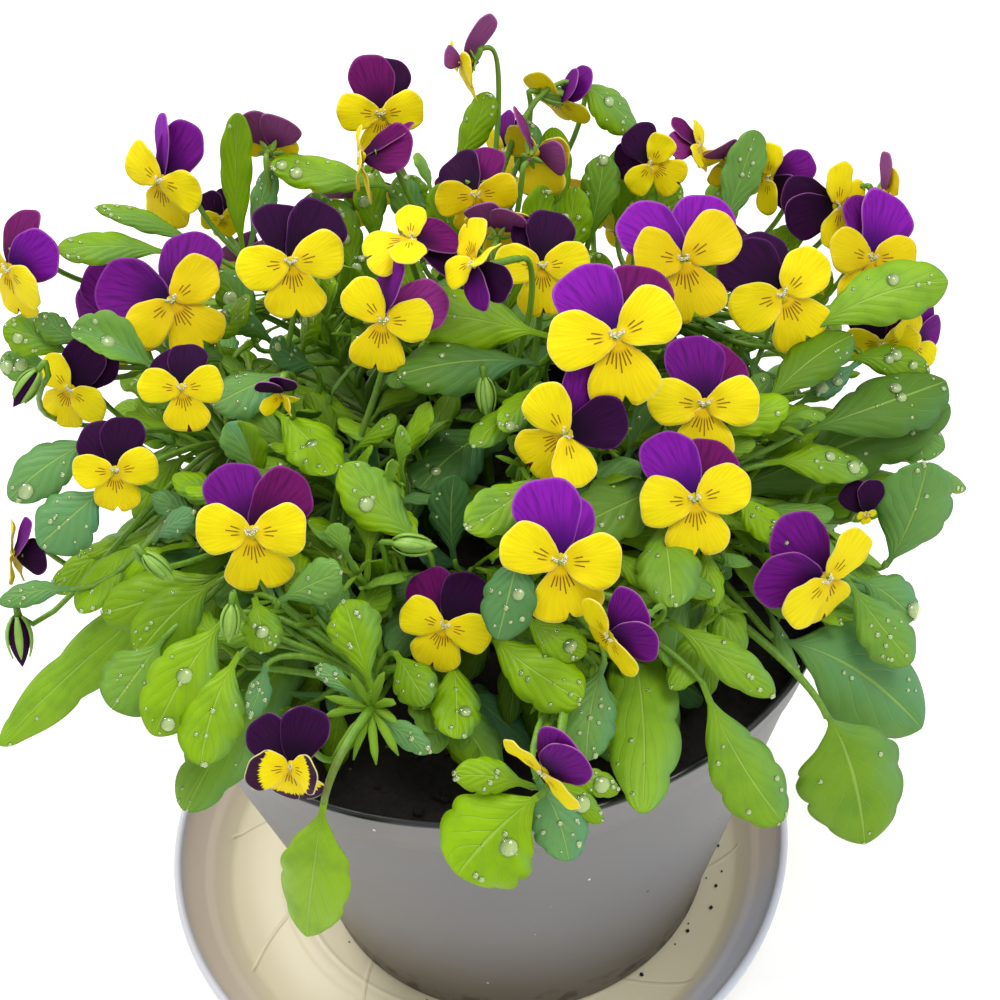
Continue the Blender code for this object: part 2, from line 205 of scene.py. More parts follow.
CAMERA_RISE = math.radians(41.65)
CAMERA_ROLL = math.radians(-5.1)
CAMERA_DISTANCE = 0.4036
CAMERA_TARGET = Vector((0.0162, 0.0, 0.1549))
camera_data = bpy.data.cameras.new("camera")
camera_data.sensor_width = 36
camera_data.lens = 54.23
camera_data.clip_start = 0.01
camera = placed("camera", camera_data)
bpy.context.scene.camera = camera
toward_camera = Vector((0, -math.cos(CAMERA_RISE), math.sin(CAMERA_RISE)))
level = Vector((1, 0, 0))
upward = toward_camera.cross(level)
camera_right = level * math.cos(CAMERA_ROLL) + upward * math.sin(CAMERA_ROLL)
camera_up = upward * math.cos(CAMERA_ROLL) - level * math.sin(CAMERA_ROLL)
camera.matrix_world = (
    Matrix.Translation(CAMERA_TARGET + toward_camera * CAMERA_DISTANCE)
    @ Matrix((camera_right, camera_up, toward_camera)).transposed().to_4x4()
)

# ---------------------------------------------------------------- saucer
# A shallow dish moulded in clear, slightly cream plastic, with a stepped wall and a rounded lip. Its floor
# has a raised middle and fine moulded arcs. The pot only stands in it. All sizes are in millimetres.
MM = 0.001


def round_patch(rings, first_pole, last_pole, slot=0, **values):
    """A closed round skin: rows of ring points, each row joined to the next, and a fan to a pole at each end.
    Row i and turn j give point i * sides + j, and a row's last point is joined to its first."""
    rows, sides = rings.shape[:2]
    row, turn = np.meshgrid(np.arange(rows - 1), np.arange(sides), indexing="ij")
    here = row * sides + turn
    beside = row * sides + (turn + 1) % sides
    quads = np.stack([here, beside, beside + sides, here + sides], -1).reshape(-1, 4)
    turn = np.arange(sides)
    following = (turn + 1) % sides
    low = np.stack([np.full(sides, rows * sides), following, turn], -1)
    top = (rows - 1) * sides
    high = np.stack([np.full(sides, rows * sides + 1), top + turn, top + following], -1)
    points = np.vstack([rings.reshape(-1, 3), [first_pole], [last_pole]])
    across, along = np.meshgrid(np.arange(sides) / sides, np.arange(rows) / max(1, rows - 1))
    uv = np.vstack([np.stack([across, along], -1).reshape(-1, 2), [[0.5, 0]], [[0.5, 1]]])
    return {
        "points": points,
        "quads": quads,
        "triangles": np.vstack([low, high]),
        "slots": np.full(len(quads) + 2 * sides, slot),
        "uv": uv,
        "values": {name: np.full(len(points), value) for name, value in values.items()},
    }


def arc(centre, radius, first, last, count):
    """(radius, height) points of a round corner, from angle first to last in degrees."""
    turns = np.radians(np.linspace(first, last, count))
    return np.stack([centre[0] + radius * np.cos(turns), centre[1] + radius * np.sin(turns)], -1)


def swung(radius, height, sides, first_turn=0.0):
    """A profile swung round the upright axis: at each even turn, (radius * cos, radius * sin, height)."""
    turns = np.arange(sides) * 2 * np.pi / sides + first_turn
    circles = radius[:, None] * np.cos(turns), radius[:, None] * np.sin(turns), height[:, None]
    return np.stack(np.broadcast_arrays(*circles), -1)


def turned(profile, centre_x, sides):
    """A turned body. Its profile of (radius, height) runs from under the axis up the outside and back down
    the inside to the axis."""
    rings = swung(*profile[1:-1].T, sides) + (centre_x, 0, 0)
    return round_patch(rings, (centre_x, 0, profile[0, 1]), (centre_x, 0, profile[-1, 1]))


def riding(name, mesh, replaced=()):
    """An object of the mesh, which rides on the plant's one body."""
    obj = placed(name, mesh)
    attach(obj, "root")
    if replaced:
        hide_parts(*replaced)
    return obj


def piece(name, patches, finishes, replaced=(), crease=180):
    """One mesh object of many patches, in millimetres."""
    counts = np.cumsum([0] + [len(each["points"]) for each in patches])
    faces = []
    for each, first in zip(patches, counts):
        faces += (each["quads"] + first).tolist() + (each["triangles"] + first).tolist()
    mesh = bpy.data.meshes.new(name)
    mesh.from_pydata((np.vstack([each["points"] for each in patches]) * MM).tolist(), [], faces)
    slots = np.concatenate([each["slots"] for each in patches])
    mesh.polygons.foreach_set("material_index", slots.astype(int))
    layer = mesh.uv_layers.new(name="surface")
    corners = np.empty(len(mesh.loops), int)
    mesh.loops.foreach_get("vertex_index", corners)
    layer.data.foreach_set("uv", np.vstack([each["uv"] for each in patches])[corners].ravel())
    for key in patches[0]["values"]:
        shares = np.concatenate([each["values"][key] for each in patches])
        mesh.attributes.new(key, "FLOAT", "POINT").data.foreach_set("value", shares.astype(np.float32))
    for finish in finishes:
        mesh.materials.append(finish.material)
    mesh.shade_smooth()
    if crease < 180:
        mesh.set_sharp_from_angle(angle=math.radians(crease))
    riding(name, mesh, replaced)


SAUCER_TOP = 18.8
LIP_RADIUS = 1.3
RAISED_FLOOR, TROUGH_FLOOR = 3.0, 2.2
RIB_RADII, RIB_HEIGHT, RIB_HALF = (62, 44), 0.35, 1.6
saucer_ribs = [
    (radius, RAISED_FLOOR + RIB_HEIGHT * math.exp(-(((radius - rib) / 0.5) ** 2)))
    for rib in RIB_RADII
    for radius in np.linspace(rib + RIB_HALF, rib - RIB_HALF, 7)
]
saucer_profile = np.vstack(
    [
        [(0, 0), (40, 0), (83, 0), (84.0, 0.2), (85, 1.4), (89.4, 5.9), (90.2, 6.4), (91.6, 7.2)],
        [(93, 8.4), (96.3, 11.9)],
        arc((98.7, SAUCER_TOP - LIP_RADIUS), LIP_RADIUS, -35, 180, 10),
        [(95.4, 14.4), (94.4, 13.2), (91.8, 10.1), (90.9, 9.3), (89.4, 8.4), (88.3, 7.4), (84.6, 3.3)],
        [(82.6, TROUGH_FLOOR), (76, TROUGH_FLOOR), (68.6, TROUGH_FLOOR), (67.8, 2.5), (66.4, RAISED_FLOOR)],
        saucer_ribs,
        [(30, RAISED_FLOOR), (0, RAISED_FLOOR)],
    ]
)
cream = Finish("clear_cream_plastic", 0.38, Transmission_Weight=0.1, Specular_IOR_Level=0.3)
place = cream.where()
x, y, z = cream.parts(place)
wall = cream.ramp(z, 0.0030, 0.0110)
# The top of the lip, where a bluish-white highlight is painted below.
lip_highlight = cream.ramp(z, 0.0152, 0.0180)
shade = cream.mix(cream.noise(place, 20), (234, 222, 184), (242, 232, 204))
wall_shade = cream.mix(cream.noise(place, 14), (222, 204, 182), (234, 220, 206))
shade = cream.mix(wall, shade, wall_shade)
# Ten fine arcs run out over the floor and bow aside as they go.
ARCS, BOW = 10, 70
reach = cream.distance(x, y)
turn = cream.maths("ARCTAN2", x, y) + reach * reach * BOW
from_arc = abs(cream.maths("FRACT", turn * (ARCS / (2 * math.pi))) - 0.5)
moulded_arc = cream.ramp(from_arc * reach, 0.0018, 0.0002) * cream.ramp(z, 0.0045, 0.0032)
shade = cream.mix(moulded_arc * 0.25, shade, (206, 186, 150))
# Painted highlights: a bluish-white gleam over the front right of the wall and along the top of the lip.
painted_side_highlight = cream.ramp(x * 0.6 - y * 0.8, 0.066, 0.088) * wall
shade = cream.mix(cream.maths("MAXIMUM", painted_side_highlight, lip_highlight * 0.8), shade, (214, 216, 228))
cream.paint(shade)
cream.relief(moulded_arc, 0.0002)
SIDES = 144
piece("saucer_dish", [turned(saucer_profile, 0, SIDES)], [cream], ["saucer"], crease=50)

# ---------------------------------------------------------------- pot
# A thin nursery pot, grey outside and black inside, drawn from one two-colour moulding. A plain band runs
# below the rim and ends in a fine step. Its foot stands on the saucer's raised middle.
POT_X = 11.0
RIM, BASE, TOP, FOOT = 95.0, 63.0, 141.0, 3.3
BAND, BAND_STEP = 125.0, 0.9
WALL = 2.0
POT_SLOPE = (RIM - BASE) / (TOP - FOOT)


def pot_wall(height):
    """The outer radius of the pot at a height."""
    return BASE + (height - FOOT) * POT_SLOPE


pot_outside = np.vstack(
    [
        [(0, FOOT), (50, FOOT), (BASE - 1.2, FOOT), (BASE - 0.2, FOOT + 0.3), (BASE + 0.35, FOOT + 1.2)],
        [(pot_wall(h) - BAND_STEP, h) for h in np.linspace(9, BAND - 0.5, 14)],
        [(pot_wall(BAND - 0.1) - 0.8, BAND), (pot_wall(BAND + 0.3) - 0.2, BAND + 0.3)],
        [(pot_wall(h), h) for h in (BAND + 0.8, 134, 138.4)],
    ]
)
pot_inside = np.vstack(
    [
        arc((RIM - 1.0, TOP - 1.0), 1.0, 0, 180, 9),
        [(pot_wall(h) - WALL, h) for h in (138, 120, 60)],
        [(pot_wall(9) - WALL, 8), (BASE - 3, 5.6), (0, 5.6)],
    ]
)
grey = Finish("grey_pot_plastic", 0.5, Specular_IOR_Level=0.3)
place = grey.where()
x, y, z = grey.parts(place)
cloud = grey.noise(place, 22, 4.0)
shade = grey.mix(cloud, (112, 110, 111), (124, 121, 121))
# Darker and browner towards the bottom.
shade = grey.mix(grey.ramp(z, 0.075, 0.012) * 0.75, shade, (92, 82, 72))
band = grey.ramp(z, (BAND - 0.4) * MM, (BAND + 0.2) * MM)
shade = grey.mix(band, shade, (124, 120, 121))
# Painted highlight: a fine light line along the step at the band's lower edge.
step_highlight = band * grey.ramp(z, (BAND + 1.1) * MM, (BAND + 0.4) * MM)
shade = grey.mix(step_highlight * 0.5, shade, (158, 154, 152))


def flecks(finish, place, scale, size, share):
    """1 inside small scattered spots: a Voronoi cell's middle, where the cell's own random number is low."""
    cells = finish.node("TexVoronoi", {"Vector": place, "Scale": scale}, "Distance", feature="F1")
    spot = finish.ramp(cells, size, size * 0.6)
    number = finish.parts(cells.beside("Color"))[0]
    return spot * finish.maths("LESS_THAN", number, share)


streaked = grey.stretched(place, (1.0, 1.0, 0.62))
shade = grey.mix(flecks(grey, streaked, 200, 0.10, 0.07), shade, (226, 222, 214))
shade = grey.mix(flecks(grey, streaked, 150, 0.09, 0.10), shade, (52, 44, 38))
# Patchy dark brown over the lowest 22 mm of the wall.
low_dark_patches = grey.ramp(z, 0.022, 0.004) * grey.ramp(grey.noise(place, 160, 5.0), 0.5, 0.62)
shade = grey.mix(low_dark_patches, shade, (58, 48, 40))
grey.paint(shade)
grey.dull(grey.maths("MULTIPLY_ADD", cloud, 0.14, 0.36))
grey.relief(grey.noise(place, 900, 2.0), 0.00004, 0.5)

black = Finish("black_pot_lining", 0.3, Specular_IOR_Level=0.6)
place = black.where()
black.paint(black.mix(black.noise(place, 80, 4.0), (12, 12, 13), (34, 33, 34)))
pot_patch = turned(np.vstack([pot_outside, pot_inside]), POT_X, SIDES)
# Strips of faces run up the outside and down the inside, and the last fan is the floor: the inside is black.
outside_faces = (len(pot_outside) - 1) * SIDES
pot_patch["slots"][outside_faces:] = 1
pot_patch["slots"][-2 * SIDES : -SIDES] = 0
piece("pot_shell", [pot_patch], [grey, black], ["pot"], crease=40)

# ---------------------------------------------------------------- soil
# Dark peat fills the pot to well below the rim, lumpy on top, with crumbs and a few pale grains in it.
# A little of it has been splashed on to the saucer round the pot's foot.
SOIL_LEVEL, SOIL_REACH = 124.0, 85.0


def rough(points, size, seed):
    """Smooth random heights from -1 to 1: a sum of sine waves of near one size, in random directions."""
    chance = np.random.default_rng(seed)
    directions = chance.normal(size=(14, 3))
    waves = (2 * np.pi / size) * chance.uniform(0.7, 1.6, 14)[:, None]
    directions *= waves / np.linalg.norm(directions, axis=1)[:, None]
    return np.sin(points @ directions.T + chance.uniform(0, 2 * np.pi, 14)).sum(-1) / 5.5


def heaped(out, rise):
    """The height of the soil at a distance from the pot's axis: a quarter of a cosine above its level."""
    return SOIL_LEVEL + rise * math.cos(out / SOIL_REACH * math.pi / 2)


soil_profile = np.vstack(
    [
        [(0, 6.2), (57, 6.2), (60, 8), (71, 60), (pot_wall(121) - 2.6, 121), (pot_wall(123) - 2.9, 123)],
        [(r, heaped(r, 2.6)) for r in np.linspace(84, 3, 24)],
        [(0, SOIL_LEVEL + 2.6)],
    ]
)
soil_patch = turned(soil_profile, POT_X, 96)
upper = soil_patch["points"][:, 2] > 122
surface = soil_patch["points"][upper]
soil_patch["points"][upper, 2] += (1.0 * rough(surface, 9, 3) + 0.7 * rough(surface, 4, 4)) - 0.8
peat = Finish("wet_peat", 0.85)
place = peat.where()
clods = peat.noise(place, 420, 6.0)
shade = peat.mix(clods, (10, 8, 8), (46, 36, 30))
shade = peat.mix(flecks(peat, place, 330, 0.2, 0.05), shade, (120, 92, 62))
peat.paint(shade)
peat.relief(clods, 0.0012)


def lump(middle, size, seed, sides=7):
    """A small uneven grain: a ball of three rings with each point pushed in or out a little."""
    chance = np.random.default_rng(seed)
    squash, lifts = 0.7, np.radians([-48, 0, 48])
    rings = swung(np.cos(lifts), np.sin(lifts) * squash, sides, chance.uniform(0, 6))
    rings *= chance.uniform(0.72, 1.2, rings.shape[:2])[..., None] * size
    middle = np.array(middle, float)
    pole = (0, 0, size * squash)
    return round_patch(rings + middle, middle - pole, middle + pole)


chance = np.random.default_rng(11)
crumbs = []
for number in range(170):
    turn, out = chance.uniform(0, 2 * np.pi), 84 * math.sqrt(chance.uniform(0, 1))
    size = chance.uniform(0.5, 1.7)
    middle = (POT_X + out * math.cos(turn), out * math.sin(turn), heaped(out, 2.2) + 0.2 * size)
    crumbs.append(lump(middle, size, number))
piece("soil_surface", [soil_patch], [peat], ["potting_soil"])
piece("soil_crumbs", crumbs, [peat])
POT_FOOT_REACH, RAISED_REACH, TROUGH_REACH = 64.6, 66, 82
spilt = []
for number in range(46):
    turn, out = chance.uniform(0, 2 * np.pi), POT_FOOT_REACH + 14 * chance.uniform(0, 1) ** 3
    size = chance.uniform(0.25, 0.75)
    middle = (POT_X + out * math.cos(turn), out * math.sin(turn))
    floor_height = RAISED_FLOOR if math.hypot(*middle) < RAISED_REACH else TROUGH_FLOOR
    if math.hypot(*middle) < TROUGH_REACH:
        spilt.append(lump((*middle, floor_height + 0.55 * size), size, 400 + number, 6))
piece("spilt_soil", spilt, [peat])

# ---------------------------------------------------------------- main stems and flower stalks
# Nine soft green shoots rise from the soil and fan outwards. Each carries its flower stalks, which hook over
# at the top. They are ribbed, a little translucent, and tinted purple where the sun reaches them.
POT_AXIS = np.array([POT_X, 0.0, 0.0])
FOOT_RING = 27.0
COLLAR = 128.5
# Bearing of the foot and of the tip, how far out the tip is, and its height.
STEMS = {
    "stem_front": (10, 10, 46, 164),
    "stem_front_left_low": (-28, -24, 72, 157),
    "stem_left_front": (-62, -56, 52, 172),
    "stem_left": (-97, -90, 62, 178),
    "stem_left_back": (-135, -132, 58, 190),
    "stem_back": (175, 172, 42, 196),
    "stem_right_back": (128, 118, 60, 185),
    "stem_right": (55, 64, 56, 168),
    "stem_middle": (88, 60, 8, 194),
}
stalk_green = Finish("stalk_green", 0.42, Specular_IOR_Level=0.4)
place = stalk_green.where()
fibres = stalk_green.noise(stalk_green.stretched(place, (1.0, 1.0, 0.12)), 900, 3.0)
shade = stalk_green.mix(stalk_green.noise(place, 45), (92, 142, 22), (146, 186, 58))
shade = stalk_green.mix(fibres, shade, (70, 110, 16))
sunned = stalk_green.ramp(stalk_green.noise(place, 24), 0.58, 0.75)
shade = stalk_green.mix(sunned, shade, (104, 84, 52))
stalk_green.paint(shade)
stalk_green.relief(fibres, 0.0002, 0.6)


def node_points(node):
    """The points of a CAD node's mesh, in metres."""
    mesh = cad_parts[node].data
    points = np.empty(len(mesh.vertices) * 3)
    mesh.vertices.foreach_get("co", points)
    return points.reshape(-1, 3)


def rounded_copy(name, node, finish, levels):
    """A CAD node's triangles sewn together, paired into quads and rounded by subdivision."""
    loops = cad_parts[node].data.loops
    corners = np.empty(len(loops), int)
    loops.foreach_get("vertex_index", corners)
    mesh = bpy.data.meshes.new(name)
    mesh.from_pydata(node_points(node).tolist(), [], corners.reshape(-1, 3).tolist())
    sewn = bmesh.new()
    sewn.from_mesh(mesh)
    bmesh.ops.remove_doubles(sewn, verts=sewn.verts, dist=2e-5)
    bmesh.ops.join_triangles(
        sewn, faces=sewn.faces, angle_face_threshold=math.radians(35), angle_shape_threshold=math.radians(60)
    )
    sewn.to_mesh(mesh)
    sewn.free()
    mesh.materials.append(finish.material)
    mesh.shade_smooth()
    rounding = riding(name, mesh, [node]).modifiers.new("rounding", "SUBSURF")
    rounding.levels = rounding.render_levels = levels


for stem in STEMS:
    rounded_copy("shoot_" + stem.removeprefix("stem_"), stem, stalk_green, 2)


def outward(bearing, rise=0.0):
    """The unit vector on a compass bearing (0 to the front, 90 to the right), raised above level, in
    degrees."""
    bearing, rise = np.radians(bearing), np.radians(rise)
    return np.array([np.sin(bearing) * np.cos(rise), -np.cos(bearing) * np.cos(rise), np.sin(rise)])


def unit(vectors):
    """Each vector at length 1."""
    return vectors / np.maximum(np.linalg.norm(vectors, axis=-1, keepdims=True), 1e-9)


def bezier(a, b, c, d, count):
    """Evenly stepped points of a cubic curve."""
    t = np.linspace(0, 1, count)[:, None]
    return a * (1 - t) ** 3 + 3 * b * t * (1 - t) ** 2 + 3 * c * t * t * (1 - t) + d * t**3


def stem_line(stem):
    """The middle line of a main stem from the soil to its tip, from the pot's axis."""
    foot_bearing, tip_bearing, out, height = STEMS[stem]
    collar = outward(foot_bearing) * FOOT_RING + (0, 0, COLLAR)
    tip = outward(tip_bearing) * out + (0, 0, height)
    knee = collar + (tip - collar) * 0.15
    knee[2] = collar[2] + 0.72 * (height - collar[2])
    return bezier(collar, collar + (knee - collar) * 0.67, tip + (knee - tip) * 0.67, tip, 24)


def tube(path, radii, sides=7, slot=0, **values):
    """A closed tube: a ring of a given radius square to the path at each of its points, from the pot's
    axis."""
    path = np.asarray(path, float)
    radii = np.broadcast_to(radii, len(path))
    ahead = unit(np.gradient(path, axis=0))
    side = np.cross(path[-1] - path[0], (0, 0, 1.0))
    side = unit(side) if np.linalg.norm(side) > 1e-3 else np.array([1.0, 0, 0])
    first = unit(np.cross(side, ahead))
    second = np.cross(ahead, first)
    turns = np.arange(sides) * 2 * np.pi / sides
    rings = path[:, None] + radii[:, None, None] * (
        first[:, None] * np.cos(turns)[:, None] + second[:, None] * np.sin(turns)[:, None]
    )
    ends = path[0] - ahead[0] * radii[0] * 0.4, path[-1] + ahead[-1] * radii[-1] * 0.4
    return round_patch(rings + POT_AXIS, ends[0] + POT_AXIS, ends[1] + POT_AXIS, slot=slot, **values)


# ---------------------------------------------------------------- blooms
# A horned violet flower has two purple upper petals, two yellow side petals and a broad yellow lower one
# with dark guide lines and a notch. The petals are thin and velvety, and meet in a tube with a spur, held
# by five green sepals. White tufts close the throat.
PETAL_GRID = 13
PETAL_THICKNESS = 0.26


def normals(surface):
    """Unit normals of a surface grid, from its slopes along both ways."""
    return unit(np.cross(np.gradient(surface, axis=0), np.gradient(surface, axis=1)))


def sheet(surface, thickness, uv, slots, **values):
    """A thin closed skin: the surface moved half a thickness to each side along its normals, and a rim that
    joins the two round the edge. The first slot is the face, the second is the back and the rim."""
    rows, columns = surface.shape[:2]
    normal = normals(surface)
    face = surface + normal * thickness / 2
    back = surface - normal * thickness / 2
    row, column = np.meshgrid(np.arange(rows - 1), np.arange(columns - 1), indexing="ij")
    here = (row * columns + column).ravel()
    front_quads = np.stack([here, here + columns, here + columns + 1, here + 1], -1)
    total = rows * columns
    back_quads = front_quads[:, ::-1] + total
    index = np.arange(total).reshape(rows, columns)
    loop = np.concatenate([index[:-1, 0], index[-1, :-1], index[:0:-1, -1], index[0, :0:-1]])
    following = np.roll(loop, -1)
    rim = np.stack([loop + total, following + total, following, loop], -1)
    quads = np.vstack([front_quads, back_quads, rim])
    kinds = np.full(len(quads), slots[1])
    kinds[: len(front_quads)] = slots[0]
    spread = lambda value: np.tile(np.broadcast_to(value, (rows, columns)).ravel(), 2)
    return {
        "points": np.vstack([face.reshape(-1, 3), back.reshape(-1, 3)]) + POT_AXIS,
        "quads": quads,
        "triangles": np.empty((0, 3), int),
        "slots": kinds,
        "uv": np.tile(uv.reshape(-1, 2), (2, 1)),
        "values": {name: spread(value) for name, value in values.items()},
    }


def petal(length, half, egg, bend, cup, ruffle, notch, seed):
    """A petal in its own plane, base at the origin, tip up +Y. A square grid (s, t) is drawn into a disc by
    s * sqrt(1 - t^2 / 2) and t * sqrt(1 - s^2 / 2). The disc is stretched to the length, made egg-shaped,
    notched at its tip, bent back along its length, cupped across it, and waved towards the edge. Returns
    points, UV and closeness to the edge."""
    chance = np.random.default_rng(seed)
    steps = np.linspace(-1, 1, PETAL_GRID)
    s, t = np.meshgrid(steps, steps, indexing="ij")
    across = s * np.sqrt(1 - t * t / 2)
    along = t * np.sqrt(1 - s * s / 2)
    edge = np.hypot(across, along)
    turn = np.arctan2(across, along)
    wave = lambda lobes: np.sin(lobes * turn + chance.uniform(0, 6))
    swell = 1 + edge**3 * (0.035 * wave(3) + 0.018 * wave(7))
    x = half * across * swell * (1 + egg * along) / (1 + egg * egg * 0.5)
    y = length * (1 + along * swell) / 2
    y = y - notch * np.exp(-((x / 0.032) ** 2)) * np.clip(along, 0, 1) ** 3
    z = bend * (y / length) ** 2 * length + cup * (x / half) ** 2 * half
    z = z + ruffle * edge**2 * wave(3) + 0.5 * ruffle * edge**3 * wave(6)
    return np.stack([x, y, z], -1), np.stack([x + 0.5, y], -1), edge


def turned_pair(x, y, degrees):
    """Two coordinates turned clockwise."""
    angle = math.radians(degrees)
    return x * math.cos(angle) + y * math.sin(angle), y * math.cos(angle) - x * math.sin(angle)


def placed_petal(shape, pose, offset, frame_axes, centre, width, slots):
    """Rolls a petal about its own length, tips it forward by the pitch, turns it clockwise by the angle
    round the throat, and sets it on the flower. The pose holds angle, pitch, roll and size, and may leave
    out the last two."""
    points, uv, edge = shape
    angle, pitch, roll, size = (*pose, *(0.0, 1.0)[len(pose) - 2 :])
    across, along, depth = np.moveaxis(points * size, -1, 0)
    across, depth = turned_pair(across, depth, -roll)
    along, depth = turned_pair(along, depth, -pitch)
    x, y = turned_pair(across, along + 0.015, angle)
    local = np.stack([x, y, depth + offset], -1)
    return sheet(centre + local * width @ frame_axes, PETAL_THICKNESS, uv, slots, edge=edge)


def flower_axes(bearing, rise, roll):
    """Rows: the flower's right, its up and the way it faces, turned counter-clockwise by the roll."""
    ahead = outward(bearing, rise)
    up = unit(np.array([0, 0, 1.0]) - ahead * ahead[2])
    side = np.cross(up, ahead)
    roll = math.radians(roll)
    turned_up = up * math.cos(roll) - side * math.sin(roll)
    return np.array([np.cross(turned_up, ahead), turned_up, ahead])


def rays(finish, base, across, along):
    """On a petal: x and y from the middle of its base, the angle and distance from the throat, and a place
    that draws a noise out along the rays from it."""
    x, y = finish.on_surface()
    x = x - 0.5
    fan = finish.maths("ARCTAN2", x, y + base)
    reach = finish.distance(x, y)
    return x, y, fan, reach, finish.node("CombineXYZ", (fan * across, reach * along, 0.0))


def purple_finish(name, deep, main, rim):
    """Velvet of an upper petal: deep near the throat, brighter outwards, with a pale rim and fine veins."""
    sheen = {"Sheen_Weight": 0.05, "Sheen_Roughness": 0.4, "Sheen_Tint": linear(*main)}
    made = Finish(name, 0.7, Specular_IOR_Level=0.12, **sheen)
    *_, reach, spread = rays(made, 0.06, 9.0, 1.6)
    veins = made.noise(spread, 2.2, 4.0)
    shade = made.mix(made.ramp(reach, 0.04, 0.5), deep, main)
    shade = made.mix(made.ramp(veins, 0.42, 0.72), shade, made.mix(0.55, shade, deep))
    shade = made.mix(made.ramp(made.attribute("edge"), 0.93, 1.0) * 0.6, shade, rim)
    made.paint(shade)
    made.relief(veins, 0.0002, 0.5)
    made.glow_through(shade, 0.22)
    return made


# The five purples are partly the flowers' own colours, which differ from flower to flower, and partly painted
# light: lit and shaded copies of one velvet, as the two upper petals of one flower often are.
PURPLES = {
    "violet": purple_finish("petal_violet", (62, 4, 100), (142, 26, 176), (190, 104, 210)),
    "purple": purple_finish("petal_purple", (40, 2, 60), (118, 18, 136), (160, 72, 176)),
    "maroon": purple_finish("petal_maroon", (46, 2, 50), (116, 16, 100), (164, 70, 150)),
    "dark": purple_finish("petal_blackish", (22, 2, 28), (52, 4, 58), (104, 44, 118)),
    "mauve": purple_finish("petal_mauve", (92, 14, 92), (158, 52, 140), (196, 116, 184)),
}
purple_back = purple_finish("petal_purple_back", (128, 52, 120), (158, 78, 146), (190, 130, 185))
WHISKER = (112, 62, 8)


def yellow_finish(name, main, rim, lines, line_gap, line_end, golden, picotee=False, blotch=True):
    """A yellow petal: a pale rim, orange at the base, and dark lines that fan out from the throat. Lines
    says how many show on each side of the middle one, line_gap the angle between them, and line_end how far
    they reach. A picotee is a dark ragged edge from that distance on, and a blotch is a dark wedge at the
    tip's notch."""
    made = Finish(name, 0.6, Specular_IOR_Level=0.2)
    x, y, fan, reach, spread = rays(made, 0.03, 8.0, 1.5)
    veins = made.noise(spread, 2.4, 3.0)
    shade = made.mix(made.ramp(veins, 0.35, 0.75), main, made.mix(0.35, main, (236, 186, 0)))
    shade = made.mix(made.ramp(reach, 0.30, 0.05) * golden, shade, (230, 160, 0))
    if picotee:
        ragged = reach + (veins - 0.5) * 0.14
        shade = made.mix(made.ramp(ragged, picotee, picotee + 0.02), shade, (58, 14, 52))
    shade = made.mix(made.ramp(made.attribute("edge"), 0.94, 1.0) * 0.55, shade, rim)
    if lines:
        number = made.maths("ROUND", fan / line_gap)
        away = abs(fan - number * line_gap) * reach
        limit = made.maths("MULTIPLY_ADD", abs(number), -0.014, line_end)
        limit = made.maths("MULTIPLY_ADD", made.maths("FRACT", number * 0.37), -0.05, limit)
        line = made.ramp(away, 0.0068, 0.0030) * made.ramp(reach, 0.075, 0.12)
        line = line * made.maths("LESS_THAN", reach, limit)
        line = line * made.maths("LESS_THAN", abs(number), lines + 0.5)
        shade = made.mix(line * 0.85, shade, WHISKER)
    if blotch:
        wedge = made.maths("MULTIPLY_ADD", y - 0.40, 0.30, 0.004)
        mark = made.ramp(wedge - abs(x), 0.0, 0.006) * made.ramp(y, 0.405, 0.425)
        shade = made.mix(mark, shade, (92, 22, 26))
    made.paint(shade)
    made.relief(veins, 0.00025, 0.5)
    made.glow_through(shade, 0.25)
    return made


LEMON, GOLD, PALE_RIM, WHITE_RIM = (254, 240, 0), (254, 234, 0), (254, 248, 160), (250, 246, 240)
# Painted shade: darker copies of the lemon and gold yellows and of their pale rims, for flowers that stand in
# shade.
SHADED_YELLOW, SHADED_YELLOW_DEEP, SHADED_YELLOW_RIM = (240, 218, 0), (242, 218, 0), (240, 224, 130)
SIDE_LINES, LOWER_LINES = (1, 0.20, 0.21), (3, 0.16, 0.25)
yellow_side = yellow_finish("petal_yellow_side", LEMON, PALE_RIM, *SIDE_LINES, 0.25, blotch=False)
yellow_lower = yellow_finish("petal_yellow_lower", GOLD, PALE_RIM, *LOWER_LINES, 0.45)
yellow_back = yellow_finish("petal_yellow_back", (230, 210, 20), PALE_RIM, 0, 0, 0, 0, blotch=False)
# The darker yellows are painted shade.
shaded_yellow_side = yellow_finish("petal_shaded_yellow_side", SHADED_YELLOW, SHADED_YELLOW_RIM, *SIDE_LINES, 0.25, blotch=False)
shaded_yellow_lower = yellow_finish("petal_shaded_yellow_lower", SHADED_YELLOW_DEEP, (246, 228, 130), *LOWER_LINES, 0.45)
edged_side = yellow_finish("petal_edged_side", LEMON, WHITE_RIM, *SIDE_LINES, 0.25, 0.33, False)
edged_lower = yellow_finish("petal_edged_lower", GOLD, WHITE_RIM, *LOWER_LINES, 0.5, 0.38)
tuft_white = Finish("throat_tuft", 0.9, Sheen_Weight=0.5)
place = tuft_white.where()
tuft_white.paint(tuft_white.mix(tuft_white.noise(place, 1800), (246, 238, 190), (255, 254, 246)))
tuft_white.relief(tuft_white.noise(place, 3200), 0.0005)
sepal_green = Finish("sepal_green", 0.5)
place = sepal_green.where()
sepal_green.paint(sepal_green.mix(sepal_green.noise(place, 260), (96, 146, 36), (158, 192, 84)))


def ball(middle, radii, axes, slot, seed, **values):
    """A lumpy closed ball squashed to three radii along three axes."""
    lifts = np.radians(np.linspace(-66, 66, 5))
    rings = swung(np.cos(lifts), np.sin(lifts), 8)
    rings *= 1 + 0.14 * np.random.default_rng(seed).uniform(-1, 1, rings.shape[:2])[..., None]
    middle = np.asarray(middle, float) + POT_AXIS
    poles = (0, 0, -radii[2]) @ axes + middle, (0, 0, radii[2]) @ axes + middle
    return round_patch(rings * radii @ axes + middle, *poles, slot=slot, **values)


